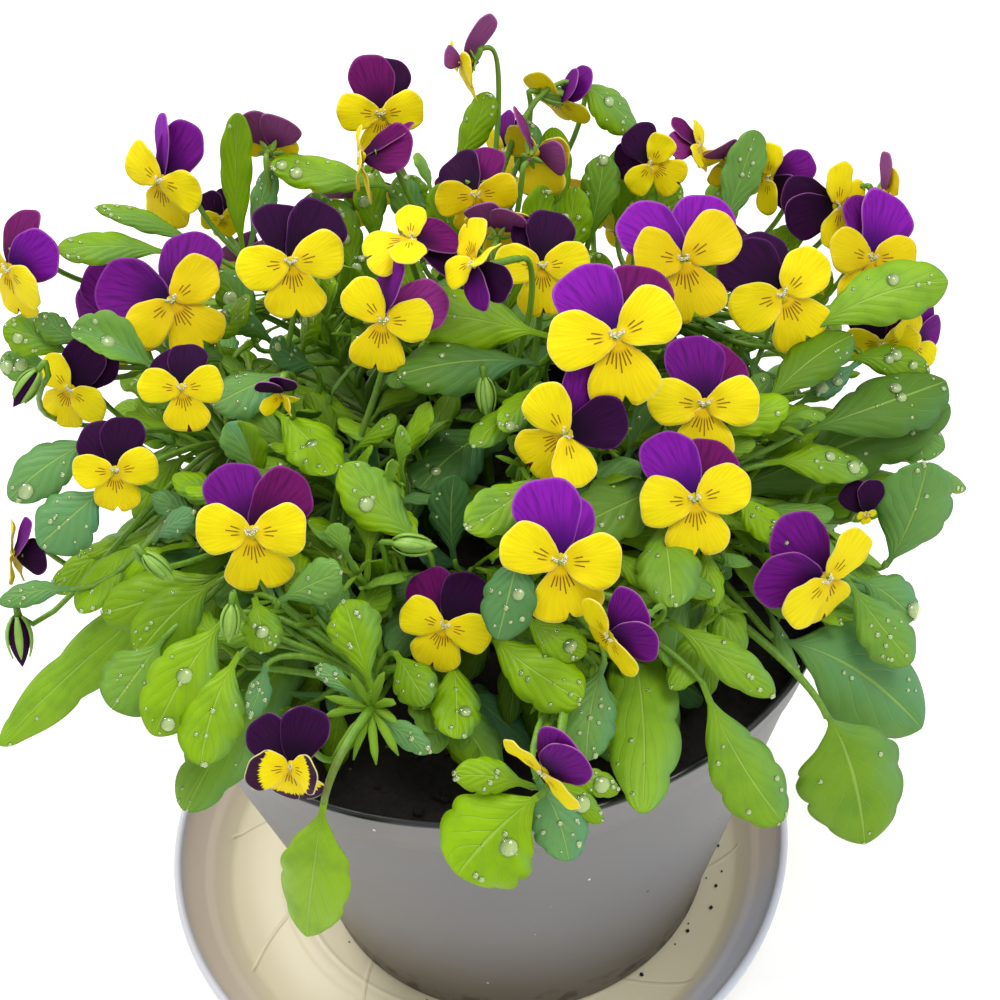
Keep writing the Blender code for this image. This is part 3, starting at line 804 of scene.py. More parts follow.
def sepal(out, depth, half, turn, axes, centre, size, thickness, slot, hollow=0.0):
    """A narrow pointed sepal on a spoke at a turn round the flower's axis: at each step it lies so far out
    and so far ahead, is half so wide to each side, and its sides rise by hollow * v^2 off the spoke."""
    v = np.array([-1.0, 0, 1.0])
    turn = math.radians(turn)
    spoke = np.array([math.sin(turn), math.cos(turn), 0])
    side = np.array([math.cos(turn), -math.sin(turn), 0])
    surface = spoke * out[..., None] + side * (half * v)[..., None] + np.array([0, 0, 1.0]) * depth[..., None]
    surface = surface + spoke * (hollow * v * v)[None, :, None]
    uv = np.stack(np.broadcast_arrays(np.linspace(0, 1, len(out))[:, None], v / 2 + 0.5), -1)
    return sheet(centre + surface * size @ axes, thickness, uv, (slot, slot), edge=0.0)


def flower(number, centre, axes, width, pose):
    """All of one flower's patches: upper, side and lower petals, calyx, throat and spur, tufts and stigma.
    Slots 0 and 1 are the left and the right upper petal's finish, 2 is their back, 3 to 5 are the yellow
    side, lower and back, 6 is white and 7 green."""
    chance = np.random.default_rng(900 + number)
    free = lambda spread: chance.uniform(-spread, spread)
    set_to = {
        "left": (-27 + free(3), -9 + free(5)),
        "right": (27 + free(3), -9 + free(5)),
        "side_left": (-84 + free(6), 5 + free(7)),
        "side_right": (84 + free(6), 5 + free(7)),
        "lower": (180 + free(3), -3 + free(6)),
        "notch": chance.choice([0.03, 0.05, 0.075]),
        "front": chance.choice([1, -1]),
        **pose,
    }
    petals = []
    for side, slot, lift in (("left", 0, 1), ("right", 1, -1)):
        ahead_of = lift * set_to["front"]
        cup = 0.08 if ahead_of > 0 else -0.04
        length, half = 0.64 + free(0.02), 0.27 + free(0.015)
        shape = petal(length, half, 0.34, -0.09, cup, 0.006, 0, number * 7 + slot)
        tipped = (set_to[side][0], set_to[side][1] - 4 + 3 * ahead_of, *set_to[side][2:])
        petals.append(placed_petal(shape, tipped, -0.034 + 0.014 * ahead_of, axes, centre, width, (slot, 2)))
    for side in ("side_left", "side_right"):
        length, half = 0.485 + free(0.02), 0.215 + free(0.012)
        bend, cup = -0.08 + free(0.06), -0.05 + free(0.07)
        shape = petal(length, half, 0.26, bend, cup, 0.014, 0, number * 7 + len(petals))
        petals.append(placed_petal(shape, set_to[side], 0.010, axes, centre, width, (3, 5)))
    bend, cup = -0.16 + free(0.10), -0.10 + free(0.08)
    length, half = 0.50 + free(0.02), 0.285 + free(0.015)
    shape = petal(length, half, 0.40, bend, cup, 0.018, set_to["notch"], number * 7 + 5)
    petals.append(placed_petal(shape, set_to["lower"], -0.004, axes, centre, width, (4, 5)))
    t = np.linspace(0, 1, 7)[:, None]
    half = 0.038 * np.sin(np.pi * (0.08 + 0.90 * t)) ** 0.8
    out, depth = 0.03 + 0.15 * t**1.4, -0.20 + 0.07 * t**0.8
    spokes = [36 + 72 * k + free(8) for k in range(5)]
    calyx = [sepal(out, depth, half, spoke, axes, centre, width, 0.3, 7, hollow=0.012) for spoke in spokes]
    on_flower = lambda points: np.asarray(points) * width @ axes + centre
    throat_rings = swung(np.array([0.028, 0.045, 0.055, 0.070]), np.array([-0.165, -0.11, -0.05, -0.012]), 9)
    spots = on_flower([(0, 0, -0.20), (0, 0, 0.004)]) + POT_AXIS
    throat = round_patch(on_flower(throat_rings) + POT_AXIS, *spots, slot=5, edge=0.0)
    spur_path = on_flower([(0, -0.02, -0.04), (0, -0.045, -0.12), (0, -0.05, -0.19), (0, -0.035, -0.235)])
    spur = tube(spur_path, np.array([0.03, 0.028, 0.024, 0.016]) * width, 6, slot=2, edge=0.3)
    tufts = []
    for sign in (-1, 1):
        for _ in range(11):
            root = np.array([sign * chance.uniform(0.012, 0.06), 0, 0.012])
            root[1] = 0.9 * abs(root[0]) - 0.012 + free(0.012)
            lean = unit(np.array([-sign * 0.5 + free(0.8), 0.1 + free(0.8), 1.3]))
            hair = on_flower([root, root + lean * 0.02, root + lean * 0.042])
            tufts.append(tube(hair, np.array([0.0085, 0.0075, 0.002]) * width, 4, slot=6, edge=0.0))
    radii = np.array([0.017, 0.017, 0.02]) * width
    stigma = ball(on_flower((0, 0.004, 0.02)), radii, axes, 7, number, edge=0.0)
    return petals + calyx + [throat, spur] + tufts + [stigma]


# Place of the throat from the pot's axis, facing (bearing, rise, roll), width, finish of the left and the
# right upper petal, and where it differs from the plain pose: (angle, pitch, roll, size) of a petal, which
# upper petal is in front (1 for the left), how deep the notch is, and the kind of yellow. The two upper
# finishes of a flower often differ by painted light, one petal lit and one in shade, and the darker kind of
# yellow is painted shade for a flower that stands in shade.
BLOOMS = (
    ((-75, 50, 231), (-30, 20, 0), 26, "violet", "purple",
     dict(left=(-14, 0, 36), right=(26, -8), front=-1, side_left=(-66, -4), side_right=(98, 6))),
    ((-46, 60, 233), (170, 2, 0), 20, "mauve", "mauve",
     dict(side_left=(-92, 0, 0, 0.7), side_right=(92, 0, 0, 0.7), lower=(180, 0, 0, 0.6))),
    ((-112, 25, 224), (-36, 10, -12), 25, "maroon", "violet",
     dict(left=(-30, -30), right=(46, -8), front=-1, side_right=(98, 10), lower=(166, 0))),
    ((-88, 28, 205), (-10, 20, 62), 25, "purple", "purple", dict(yellow="ochre")),
    ((-70, 10, 220), (0, 40, 22), 27, "purple", "purple",
     dict(left=(-50, -4, 0, 1.12), right=(44, -10, 0, 1.12), front=1, side_left=(-104, 4),
          side_right=(74, 8), lower=(170, 0), yellow="ochre", notch=0.085)),
    ((-39, 5, 231), (5, 35, 0), 26, "dark", "dark",
     dict(left=(-6, -6, -30, 0.95), right=(42, -10), front=-1, notch=0.085)),
    ((-17, 64, 237), (0, 20, 0), 24, "maroon", "dark", dict(left=(-10, -10), right=(14, -12))),
    ((-22, 42, 237), (-84, 12, 0), 23, "maroon", "maroon", dict(left=(-20, -40), right=(40, -44))),
    ((5, 65, 249), (-76, 0, 0), 21, "mauve", "maroon",
     dict(left=(-22, -34, 40), right=(30, 50, 30, 0.55), side_left=(-94, 0, 0, 0.9),
          lower=(180, -6, 0, 1.1))),
    ((30, 63, 237), (-36, -22, -34), 20, "purple", "purple",
     dict(left=(0, -10, 66, 0.8), right=(14, -14, 62, 0.9), lower=(186, -4, 0, 1.15),
          side_left=(-70, 6, 0, 1.1))),
    ((23, 50, 230), (142, -5, 0), 20, "mauve", "mauve",
     dict(left=(-86, -8, 0, 0.85), right=(20, 0, 58), lower=(196, -4, 20, 1.2))),
    ((6, 27, 232), (0, 15, 0), 21, "dark", "maroon",
     dict(left=(-36, -44), right=(22, -34, 24), yellow="ochre")),
    ((-10, -2, 239), (0, 68, -76), 22, "maroon", "dark",
     dict(left=(-12, -26), right=(14, -30), side_left=(-70, 10, 0, 0.8), side_right=(110, 30, 0, 0.9))),
    ((4, -14, 239), (-62, 28, -130), 20, "dark", "purple",
     dict(side_right=(90, 14, 0, 0.9), side_left=(-84, 10, 50), left=(-24, -10, 0, 0.85),
          right=(24, -10, 0, 0.85))),
    ((34, -32, 228), (-5, 40, 5), 30, "violet", "maroon",
     dict(left=(-27, -8, 0, 0.94), right=(32, -10), front=1, side_right=(66, 8), side_left=(-88, 8),
          notch=0.1)),
    ((54, 2, 224), (-5, 40, 12), 29, "violet", "violet",
     dict(left=(-34, -6, -16), right=(40, -8), side_left=(-70, 30), side_right=(68, 10), yellow="ochre",
          notch=0.085)),
    ((52, 45, 226), (-20, 25, 60), 18, "dark", "dark"),
    ((84, 50, 216), (-60, 20, -74), 19, "purple", "dark"),
    ((100, 38, 213), (30, 20, 76), 23, "dark", "dark", dict(left=(-12, -8), right=(14, -10))),
    ((106, 24, 205), (20, 30, -22), 27, "purple", "violet",
     dict(left=(4, -10), right=(22, -8, 0, 1.1), front=-1, yellow="ochre")),
    ((115, 46, 211), (98, 0, -50), 16, "mauve", "mauve", dict(left=(-24, 20), right=(24, 20))),
    ((79, 4, 210), (0, 40, 26), 28, "dark", "dark",
     dict(left=(-18, -6), right=(2, -8), front=1, side_right=(74, 6), notch=0.085)),
    ((115, 10, 187), (20, 8, -62), 19, "purple", "purple"),
    ((-102, 12, 195), (-20, 25, -30), 22, "dark", "dark",
     dict(left=(-8, -8), right=(8, -10), side_left=(-74, 6), side_right=(88, 6), notch=0.07)),
    ((-67, -15, 212), (0, 30, 0), 20, "dark", "dark",
     dict(left=(-40, -20, 0, 0.88), right=(14, -20, 0, 0.88), front=-1, notch=0.0)),
    ((-85, -25, 197), (5, 30, -8), 20.5, "dark", "dark",
     dict(left=(-36, -14), right=(12, -12), front=-1, notch=0.085)),
    ((-51, -50, 196), (0, 35, 0), 26.5, "purple", "maroon",
     dict(left=(-22, -6), right=(46, -8), side_left=(-77, 6), notch=0.1)),
    ((-122, -11, 161), (-80, 10, -26), 18, "purple", "dark", dict(left=(-20, -20), right=(34, -30))),
    ((21, -42, 210), (-20, 30, -46), 25, "purple", "dark",
     dict(left=(-24, -4, -34), right=(20, -8, 0, 0.85), side_right=(108, 14, 40))),
    ((17, -68, 196), (0, 35, 3), 28, "violet", "violet",
     dict(left=(-6, -6), right=(14, -16, 0, 0.9), front=1, side_left=(-60, 4), side_right=(96, 6),
          notch=0.05)),
    ((-10, -62, 173), (-5, 35, -22), 21.5, "maroon", "dark",
     dict(left=(-46, -12), right=(15, -8), front=-1, notch=0.05)),
    ((26, -80, 184), (-52, 2, -34), 19.5, "purple", "purple", dict(left=(-14, -6), right=(34, -8))),
    ((55, -25, 201), (5, 40, -8), 27, "purple", "maroon", dict(left=(-10, -6), right=(30, -10), front=1)),
    ((49, -50, 194), (5, 40, -2), 26, "violet", "maroon",
     dict(left=(-24, -6), right=(36, -12), front=1, side_right=(76, 8), notch=0.085)),
    ((79, -58, 173), (24, 12, 26), 27, "purple", "purple",
     dict(left=(-48, -8), right=(4, -8), front=1, side_left=(-88, 10), side_right=(74, 6), lower=(204, -4))),
    ((9, -106, 173), (-45, -12, -34), 21, "purple", "purple",
     dict(left=(-10, -6), right=(12, -12), front=-1)),
    ((-44, -98, 172), (-10, 30, 0), 20, "dark", "dark",
     dict(yellow="edged", left=(-50, -8), right=(20, -8), side_left=(-86, 46), side_right=(88, 44),
          lower=(172, -16, 0, 1.0), notch=0.11)),
)
CALYX_LENGTH = 0.21
YELLOWS = {
    "lemon": (yellow_side, yellow_lower),
    "ochre": (shaded_yellow_side, shaded_yellow_lower),
    "edged": (edged_side, edged_lower),
}
blooms = []


def add_flower(number, name, row, replaced=()):
    """Makes one flower of a table's row. Remembers and gives its centre, the way it faces and its width, so
    that leaves and stalks keep clear of it."""
    place, facing, width, left, right, *pose = row
    pose = pose[0] if pose else {}
    centre, axes = np.array(place, float), flower_axes(*facing)
    yellows = YELLOWS[pose.get("yellow", "lemon")]
    finishes = [PURPLES[left], PURPLES[right], purple_back, *yellows, yellow_back, tuft_white, sepal_green]
    piece(name, flower(number, centre, axes, width, pose), finishes, replaced)
    blooms.append((centre, axes[2], width))
    return blooms[-1]


# The modelled stems hold most flowers already: only those that hang free of a stalk's end get a short neck.
NECK, TOUCHING = 0.9, 1.1
necks = []
stem_points = np.vstack([node_points(stem) for stem in STEMS]) / MM - POT_AXIS
for number, row in enumerate(BLOOMS, 1):
    centre, ahead, width = add_flower(number, f"flower_{number:02d}", row, [f"bloom_{number:02d}"])
    calyx = centre - ahead * CALYX_LENGTH * width
    behind = (stem_points - calyx) @ ahead < 1.5
    reach = np.where(behind, np.linalg.norm(stem_points - calyx, axis=1), 1e3)
    end = stem_points[reach < reach.min() + 1.3].mean(0)
    if reach.min() > TOUCHING:
        back = ahead * min(0.35 * reach.min(), 3.0)
        necks.append(tube(bezier(end, end + (0, 0, 1.2), calyx - back, calyx + ahead, 9), NECK))
piece("flower_necks", necks, [stalk_green])

# ---------------------------------------------------------------- further blooms and buds
# Smaller, half-open and half-hidden flowers between the big ones, more at the back, and closed buds.
# Each hangs on its own thin stalk, which grows from the nearest shoot.
MORE_BLOOMS = (
    ((-63, 58, 214), (10, 15, 0), 12, "dark", "dark"),
    ((-18, -15, 226), (2, 30, -14), 24, "purple", "mauve",
     dict(left=(-2, 0, 62), right=(62, -10), side_left=(-48, 4))),
    ((15, 66, 222), (-60, 10, 0), 17, "purple", "dark"),
    ((20, 0, 227), (0, 35, -4), 22, "dark", "dark", dict(left=(-10, -10), right=(14, -12))),
    ((11, 14, 230), (165, 12, 0), 17, "mauve", "mauve"),
    ((66, 56, 224), (70, 30, 20), 15, "mauve", "maroon"),
    ((74, 58, 219), (-170, 22, 0), 17, "maroon", "maroon"),
    ((107, 10, 188), (-20, 5, 10), 19, "dark", "maroon"),
    ((96, -28, 164), (10, 10, 0), 14, "dark", "dark",
     dict(left=(-24, -10), right=(20, -10), side_left=(-80, 10, 0, 0.35), side_right=(80, 10, 0, 0.35),
          lower=(180, 10, 0, 0.35))),
    ((-43, -23, 214), (-10, -20, 0), 12, "dark", "dark",
     dict(left=(-20, 20), right=(20, 20), side_left=(-104, 60), side_right=(104, 60))),
    ((-30, 92, 198), (178, 25, 10), 25, "purple", "violet"),
    ((8, 100, 190), (172, 20, -12), 26, "dark", "purple"),
    ((44, 94, 188), (150, 28, 8), 25, "purple", "maroon"),
    ((-62, 86, 184), (-155, 22, 0), 25, "violet", "purple"),
    ((80, 74, 182), (135, 20, 14), 25, "dark", "maroon"),
    ((-6, 104, 178), (180, 10, 0), 25, "purple", "purple"),
    ((-96, 52, 186), (-125, 18, -10), 24, "dark", "purple"),
    ((56, 98, 170), (155, 8, -8), 24, "violet", "purple"),
)
# The upper half of each main stem, from which stalks and side shoots grow.
stem_uppers = {stem: stem_line(stem)[10:] for stem in STEMS}


def nearest_shoot(place, drop):
    """The point of the main stems' upper halves that is nearest to so far below a place, and its stem."""
    under = np.asarray(place, float) - (0, 0, drop)
    found = [(np.linalg.norm(line - under, axis=1), stem, line) for stem, line in stem_uppers.items()]
    distances, stem, line = min(found, key=lambda each: each[0].min())
    return line[np.argmin(distances)], stem


def stalk(centre, ahead, width):
    """A flower stalk's line: up from the shoot, over in a hook, and down to the calyx. A nodding flower's
    stalk starts farther back."""
    farther = 34 if ahead[2] < -0.3 else 0
    start = nearest_shoot(centre + (0, farther, 0), 42)[0]
    calyx = centre - ahead * (CALYX_LENGTH * width - 1)
    below = calyx - ahead * 4.6 - (0, 0, 3.3)
    reach = np.linalg.norm(below - start)
    leaving = start + (0, 0, 0.35 * reach) + (below - start) * 0.2
    climb = bezier(start, leaving, below - (0, 0, 0.3 * reach), below, 12)
    hook = bezier(below, below + (0, 0, 3.4), calyx - ahead * 3.4 + (0, 0, 1.2), calyx, 7)[1:]
    return np.vstack([climb, hook])


more_stalks = []
for number, row in enumerate(MORE_BLOOMS, 1):
    centre, ahead, width = add_flower(100 + number, f"flower_small_{number:02d}", row)
    more_stalks.append(tube(stalk(centre, ahead, width), 0.85))

# Buds: place of the middle, facing of the tip, length, and how far it is open, which shows its colour.
BUDS = (
    ((-73, -52, 190), (60, -40), 9, 0.2),
    ((-57, -66, 184), (-20, -55), 9, 0.3),
    ((-115, -42, 160), (-5, -60), 13, 0.8),
    ((-107, -4, 208), (-60, -40), 11, 0.9),
    ((-15, -50, 188), (70, 5), 11, 0.2),
    ((30, 64, 238), (100, -20), 11, 0.3),
    ((92, 30, 196), (60, -40), 11, 0.4),
    ((-36, 96, 186), (170, -50), 12, 0.5),
    ((70, 90, 178), (140, -50), 11, 0.3),
    ((4, -20, 205), (0, -60), 10, 0.2),
)


def bud(centre, axes, length):
    """A closed bud: a spindle that swells and comes to a point, wrapped in narrow sepals that follow it."""
    t = np.linspace(0.04, 0.97, 9)
    rings = swung(0.20 * np.sin(np.pi * t**0.8) ** 0.85, t - 0.5, 9)
    poles = np.array([(0, 0, -0.5), (0, 0, 0.5)]) * length @ axes + centre + POT_AXIS
    body = round_patch(rings * length @ axes + centre + POT_AXIS, *poles, slot=0, edge=0.2)
    u = np.linspace(0, 1, 7)[:, None]
    out = 0.03 + 0.205 * np.sin(np.pi * np.clip(u * 0.72 + 0.04, 0, 1) ** 0.8) ** 0.85
    half = 0.075 * np.sin(np.pi * (0.1 + 0.88 * u)) ** 0.8
    depth = -0.5 + 0.80 * u
    return [body] + [sepal(out, depth, half, 72 * k + 20, axes, centre, length, 0.35, 1) for k in range(5)]


# One bud's stalk bends round the flower beside it.
ROUND_THE_FLOWER = {4: np.array([(-93.0, 19, 176), (-113, 22, 176), (-112, 0, 197)])}
for number, (centre, facing, length, opened) in enumerate(BUDS, 1):
    centre = np.array(centre, float)
    axes = flower_axes(*facing, 0)
    body = PURPLES["dark"] if opened > 0.6 else (sepal_green if opened < 0.35 else yellow_back)
    piece(f"bud_{number:02d}", bud(centre, axes, length), [body, sepal_green])
    ahead = axes[2]
    top = centre - ahead * (0.5 * length - 0.4)
    below = top - ahead * 3 - (0, 0, 4)
    start = nearest_shoot(centre, 25)[0]
    rise = np.linalg.norm(below - start)
    bends = ROUND_THE_FLOWER.get(number, (start, start + (0, 0, 0.35 * rise), below - (0, 0, 0.3 * rise)))
    hook = bezier(below, below + (0, 0, 4.5), top - ahead * 5, top, 7)[1:]
    more_stalks.append(tube(np.vstack([bezier(*bends, below, 10), hook]), 0.75))
piece("flower_stalks", more_stalks, [stalk_green])

# ---------------------------------------------------------------- leaves
# Soft oblong leaves on short stalks, bright green on top with a pale midrib and side veins, paler and duller
# below. Their edges have a few broad rounded teeth. Older ones droop over the pot's rim.
LEAF_THICKNESS = 0.4
leaf_top = Finish("leaf_top", 0.5, Specular_IOR_Level=0.3)
x, y = leaf_top.on_surface()
beside = abs(y - 0.5)
from_vein = abs(leaf_top.maths("FRACT", x * 6.5 - beside * 5.5) - 0.5)
side_vein = leaf_top.ramp(from_vein, 0.060, 0.015) * leaf_top.ramp(beside, 0.44, 0.25)
vein = leaf_top.maths("MAXIMUM", leaf_top.ramp(beside, 0.026, 0.010), side_vein * 0.4)
mottle = leaf_top.noise(leaf_top.where(), 120, 3.0)
# Painted shade: a leaf's green runs from dark to bright by its tone, which holds shade deep inside the plant
# as well as the leaf's own tone.
shade = leaf_top.mix(leaf_top.attribute("tone"), (40, 88, 4), (160, 204, 0))
shade = leaf_top.mix(leaf_top.ramp(mottle, 0.38, 0.72) * 0.35, shade, (84, 136, 0))
# Painted reflection: a pale blue-green of the sky on the glossy leaf, stronger where it faces right or front.
shade = leaf_top.mix(leaf_top.attribute("cool") * 0.8, shade, (104, 168, 128))
shade = leaf_top.mix(vein * 0.42, shade, (190, 222, 104))
leaf_top.paint(shade)
leaf_top.dull(leaf_top.maths("MULTIPLY_ADD", mottle, 0.2, 0.36))
leaf_top.relief(from_vein * 0.8 + mottle * 0.5 - vein, 0.0005, 0.6)
leaf_top.glow_through(shade, 0.3)
leaf_under = Finish("leaf_underside", 0.6)
# Here too the tone holds painted shade as well as the leaf's own tone.
shade = leaf_under.mix(leaf_under.attribute("tone"), (84, 130, 36), (160, 200, 60))
patchy = leaf_under.ramp(leaf_under.noise(leaf_under.where(), 180, 4.0), 0.4, 0.7)
shade = leaf_under.mix(patchy, shade, (120, 164, 60))
leaf_under.paint(shade)
leaf_under.glow_through(shade, 0.3)
TO_FRONT = np.array([0.0, -0.5, 0.87])


def leaf_surface(
    base, tip, width, rows, columns, seed, lift=0.08, roll=0.0, teeth=4.4, stalk=0.22, droop=0.4, up=TO_FRONT,
    bite=0.15, taper=0.0
):
    """Points of a leaf from its foot to its tip and from its right edge to its left. The middle line is the
    chord, raised by 4 * lift * u * (1 - u) of its length and swayed aside. The half width grows along a
    cosine from the stalk to the widest place and closes as a blunt arc to the tip. Each side has its own
    rounded teeth, |sin| to a low power, so that the notches are sharp. The sides curl down by the droop, or
    up, and wave. A taper draws the tip out to a point."""
    chance = np.random.default_rng(seed)
    stalk_rows = 3
    blade_rows = 1 - np.linspace(1, 0, rows - stalk_rows) ** 1.45
    along = np.concatenate([np.linspace(-1, 0, stalk_rows, endpoint=False), blade_rows])
    u = np.where(along < 0, (along + 1) * stalk, stalk + along * (1 - stalk))
    blade = np.clip(along, 0, 1)
    widest = chance.uniform(0.50, 0.64)
    blunt = chance.uniform(1.9, 2.6) - 0.6 * taper
    full = chance.uniform(0.48, 0.64) + 0.5 * taper
    rising = ((1 - np.cos(np.pi * np.clip(blade / widest, 0, 1))) / 2) ** 0.8
    closing = (1 - np.clip((blade - widest) / (1 - widest), 0, 1) ** blunt) ** full
    phase = chance.uniform(0, 1, 2)
    scallop = np.abs(np.sin(np.pi * (teeth * blade[:, None] + phase))) ** 0.5
    fading = np.clip(blade * 5 - 0.4, 0, 1) * np.clip((1 - blade) * 9, 0, 1)
    sides = (rising * closing * width / 2)[:, None] * (1 - bite * (1 - scallop) * fading[:, None])
    sides = np.maximum(sides, np.where(blade < 0.5, min(0.7, 0.2 * width), min(0.25, 0.06 * width))[:, None])
    chord = tip - base
    swell = 4 * u * (1 - u)
    sway = unit(np.cross((0, 0, 1.0), chord) + (1e-6, 0, 0)) * chance.uniform(-0.06, 0.06)
    arch = (np.array([0, 0, lift]) + sway) * np.linalg.norm(chord) * swell[:, None]
    middle = base + chord * u[:, None] + arch
    ahead = unit(np.gradient(middle, axis=0))
    across = unit(np.cross(up, ahead))
    over = np.cross(ahead, across)
    turn = np.radians(roll) * (0.5 + 0.5 * u)[:, None]
    side = across * np.cos(turn) + over * np.sin(turn)
    over = np.cross(ahead, side)
    v = np.linspace(-1, 1, columns)
    half = np.where(v < 0, sides[:, :1], sides[:, 1:])
    ripple = np.sin(2 * np.pi * (2.1 * u[:, None] + 0.3 * np.sign(v)) + chance.uniform(0, 6))
    rise = half * (0.16 * np.abs(v) - droop * v * v + 0.07 * ripple * np.abs(v) ** 2)
    surface = middle[:, None] + side[:, None] * (half * v)[..., None] + over[:, None] * rise[..., None]
    uv = np.stack(np.broadcast_arrays(u[:, None], v / 2 + 0.5), -1)
    return surface, uv


# Every leaf's surface, for drops, and those of the single leaves, which stay in view.
grown, named = [], []


def keep_leaf(surface, uv, tone_share, cool_share):
    """Remembers a leaf's surface and gives its closed skin, with more painted bluish sky reflection where it
    faces right or front.
    """
    grown.append(surface)
    facing = normals(surface) @ (0.75, -0.4, 0.5)
    cooler = np.clip(cool_share + 2.2 * np.clip(facing - 0.76, 0, 1), 0, 1)
    return sheet(surface, LEAF_THICKNESS, uv, (0, 1), tone=tone_share, cool=cooler)


# The large leaves that have a place of their own in the frame: width, lift, roll, tone with painted shade,
# and painted sky reflection.
NODE_LEAVES = {
    "leaf_front_left_hanging": (17, 0.10, 0, 0.95, 0.0),
    "leaf_front_round": (23, 0.06, 0, 0.95, 0.0),
    "leaf_front_right_hanging": (18, 0.08, 0, 0.85, 0.1),
    "leaf_right_dark": (20, 0.05, 8, 0.3, 0.15),
    "leaf_right_low": (27, 0.08, 0, 0.62, 0.1),
    "leaf_right_large": (27, 0.10, 0, 0.5, 0.4),
    "leaf_right_upright": (20, -0.04, 10, 0.6, 0.5),
    "leaf_left_front_low": (19, 0.10, 0, 0.75, 0.2),
    "leaf_left_hanging": (16, 0.12, 0, 0.9, 0.1),
    "leaf_back_left": (20, 0.12, 0, 0.7, 0.1),
    "leaf_back_right": (19, 0.10, 0, 0.7, 0.1),
}


def node_ends(node):
    """The middle of a leaf node's two ends: the means of its points near each end of its longest line, and
    the end nearer to the pot's axis is the foot."""
    points = node_points(node) / MM - POT_AXIS
    middle = points.mean(0)
    one = points[np.argmax(np.linalg.norm(points - middle, axis=1))]
    other = points[np.argmax(np.linalg.norm(points - one, axis=1))]
    line = unit(other - one)
    far = (points - one) @ line
    near = 1.6
    ends = [points[far < near].mean(0), points[far > far.max() - near].mean(0)]
    return sorted(ends, key=lambda end: np.hypot(end[0], end[1]))


# Some of them reach out over the pot's lip on a bent stalk: foot, tip, and where the stalk starts.
OVER_THE_LIP = {
    "leaf_front_left_hanging": ((-38, -100, 163), (-49, -103, 116), (-27, -82, 170)),
    "leaf_front_round": ((9, -103, 162), (-11, -112, 148), (17, -80, 168)),
    "leaf_right_large": ((68.5, -56, 151.5), (105.5, -63, 122), (52, -34, 160)),
    "leaf_right_low": ((77, -74, 145), (85.5, -90, 114), (54, -50, 160)),
    "leaf_right_upright": ((102, -30, 147), (111, -24, 176), (84, -14, 150)),
}
leaf_stalks = []
for number, (node, (width, lift, roll, tone_share, cool_share)) in enumerate(NODE_LEAVES.items()):
    foot, tip = node_ends(node)
    stalk_share, depth = 0.22, 0.24
    if node in OVER_THE_LIP:
        foot, tip, start = np.array(OVER_THE_LIP[node], float)
        stalk_share, depth = 0.05, 0.13
        over_lip = (start + foot) / 2 + (0, 0, 5)
        lead = unit(tip - foot)
        bent = bezier(start, over_lip, foot - lead * 6, foot + lead * 1.5, 12)
        leaf_stalks.append(tube(bent, np.linspace(1.2, 0.8, 12)))
    seed = 40 + number
    surface, uv = leaf_surface(foot, tip, width, 44, 11, seed, lift, roll, 4.6, stalk_share, bite=depth)
    named.append(surface)
    patch = keep_leaf(surface, uv, tone_share, cool_share)
    piece("blade_" + node.removeprefix("leaf_"), [patch], [leaf_top, leaf_under], [node])
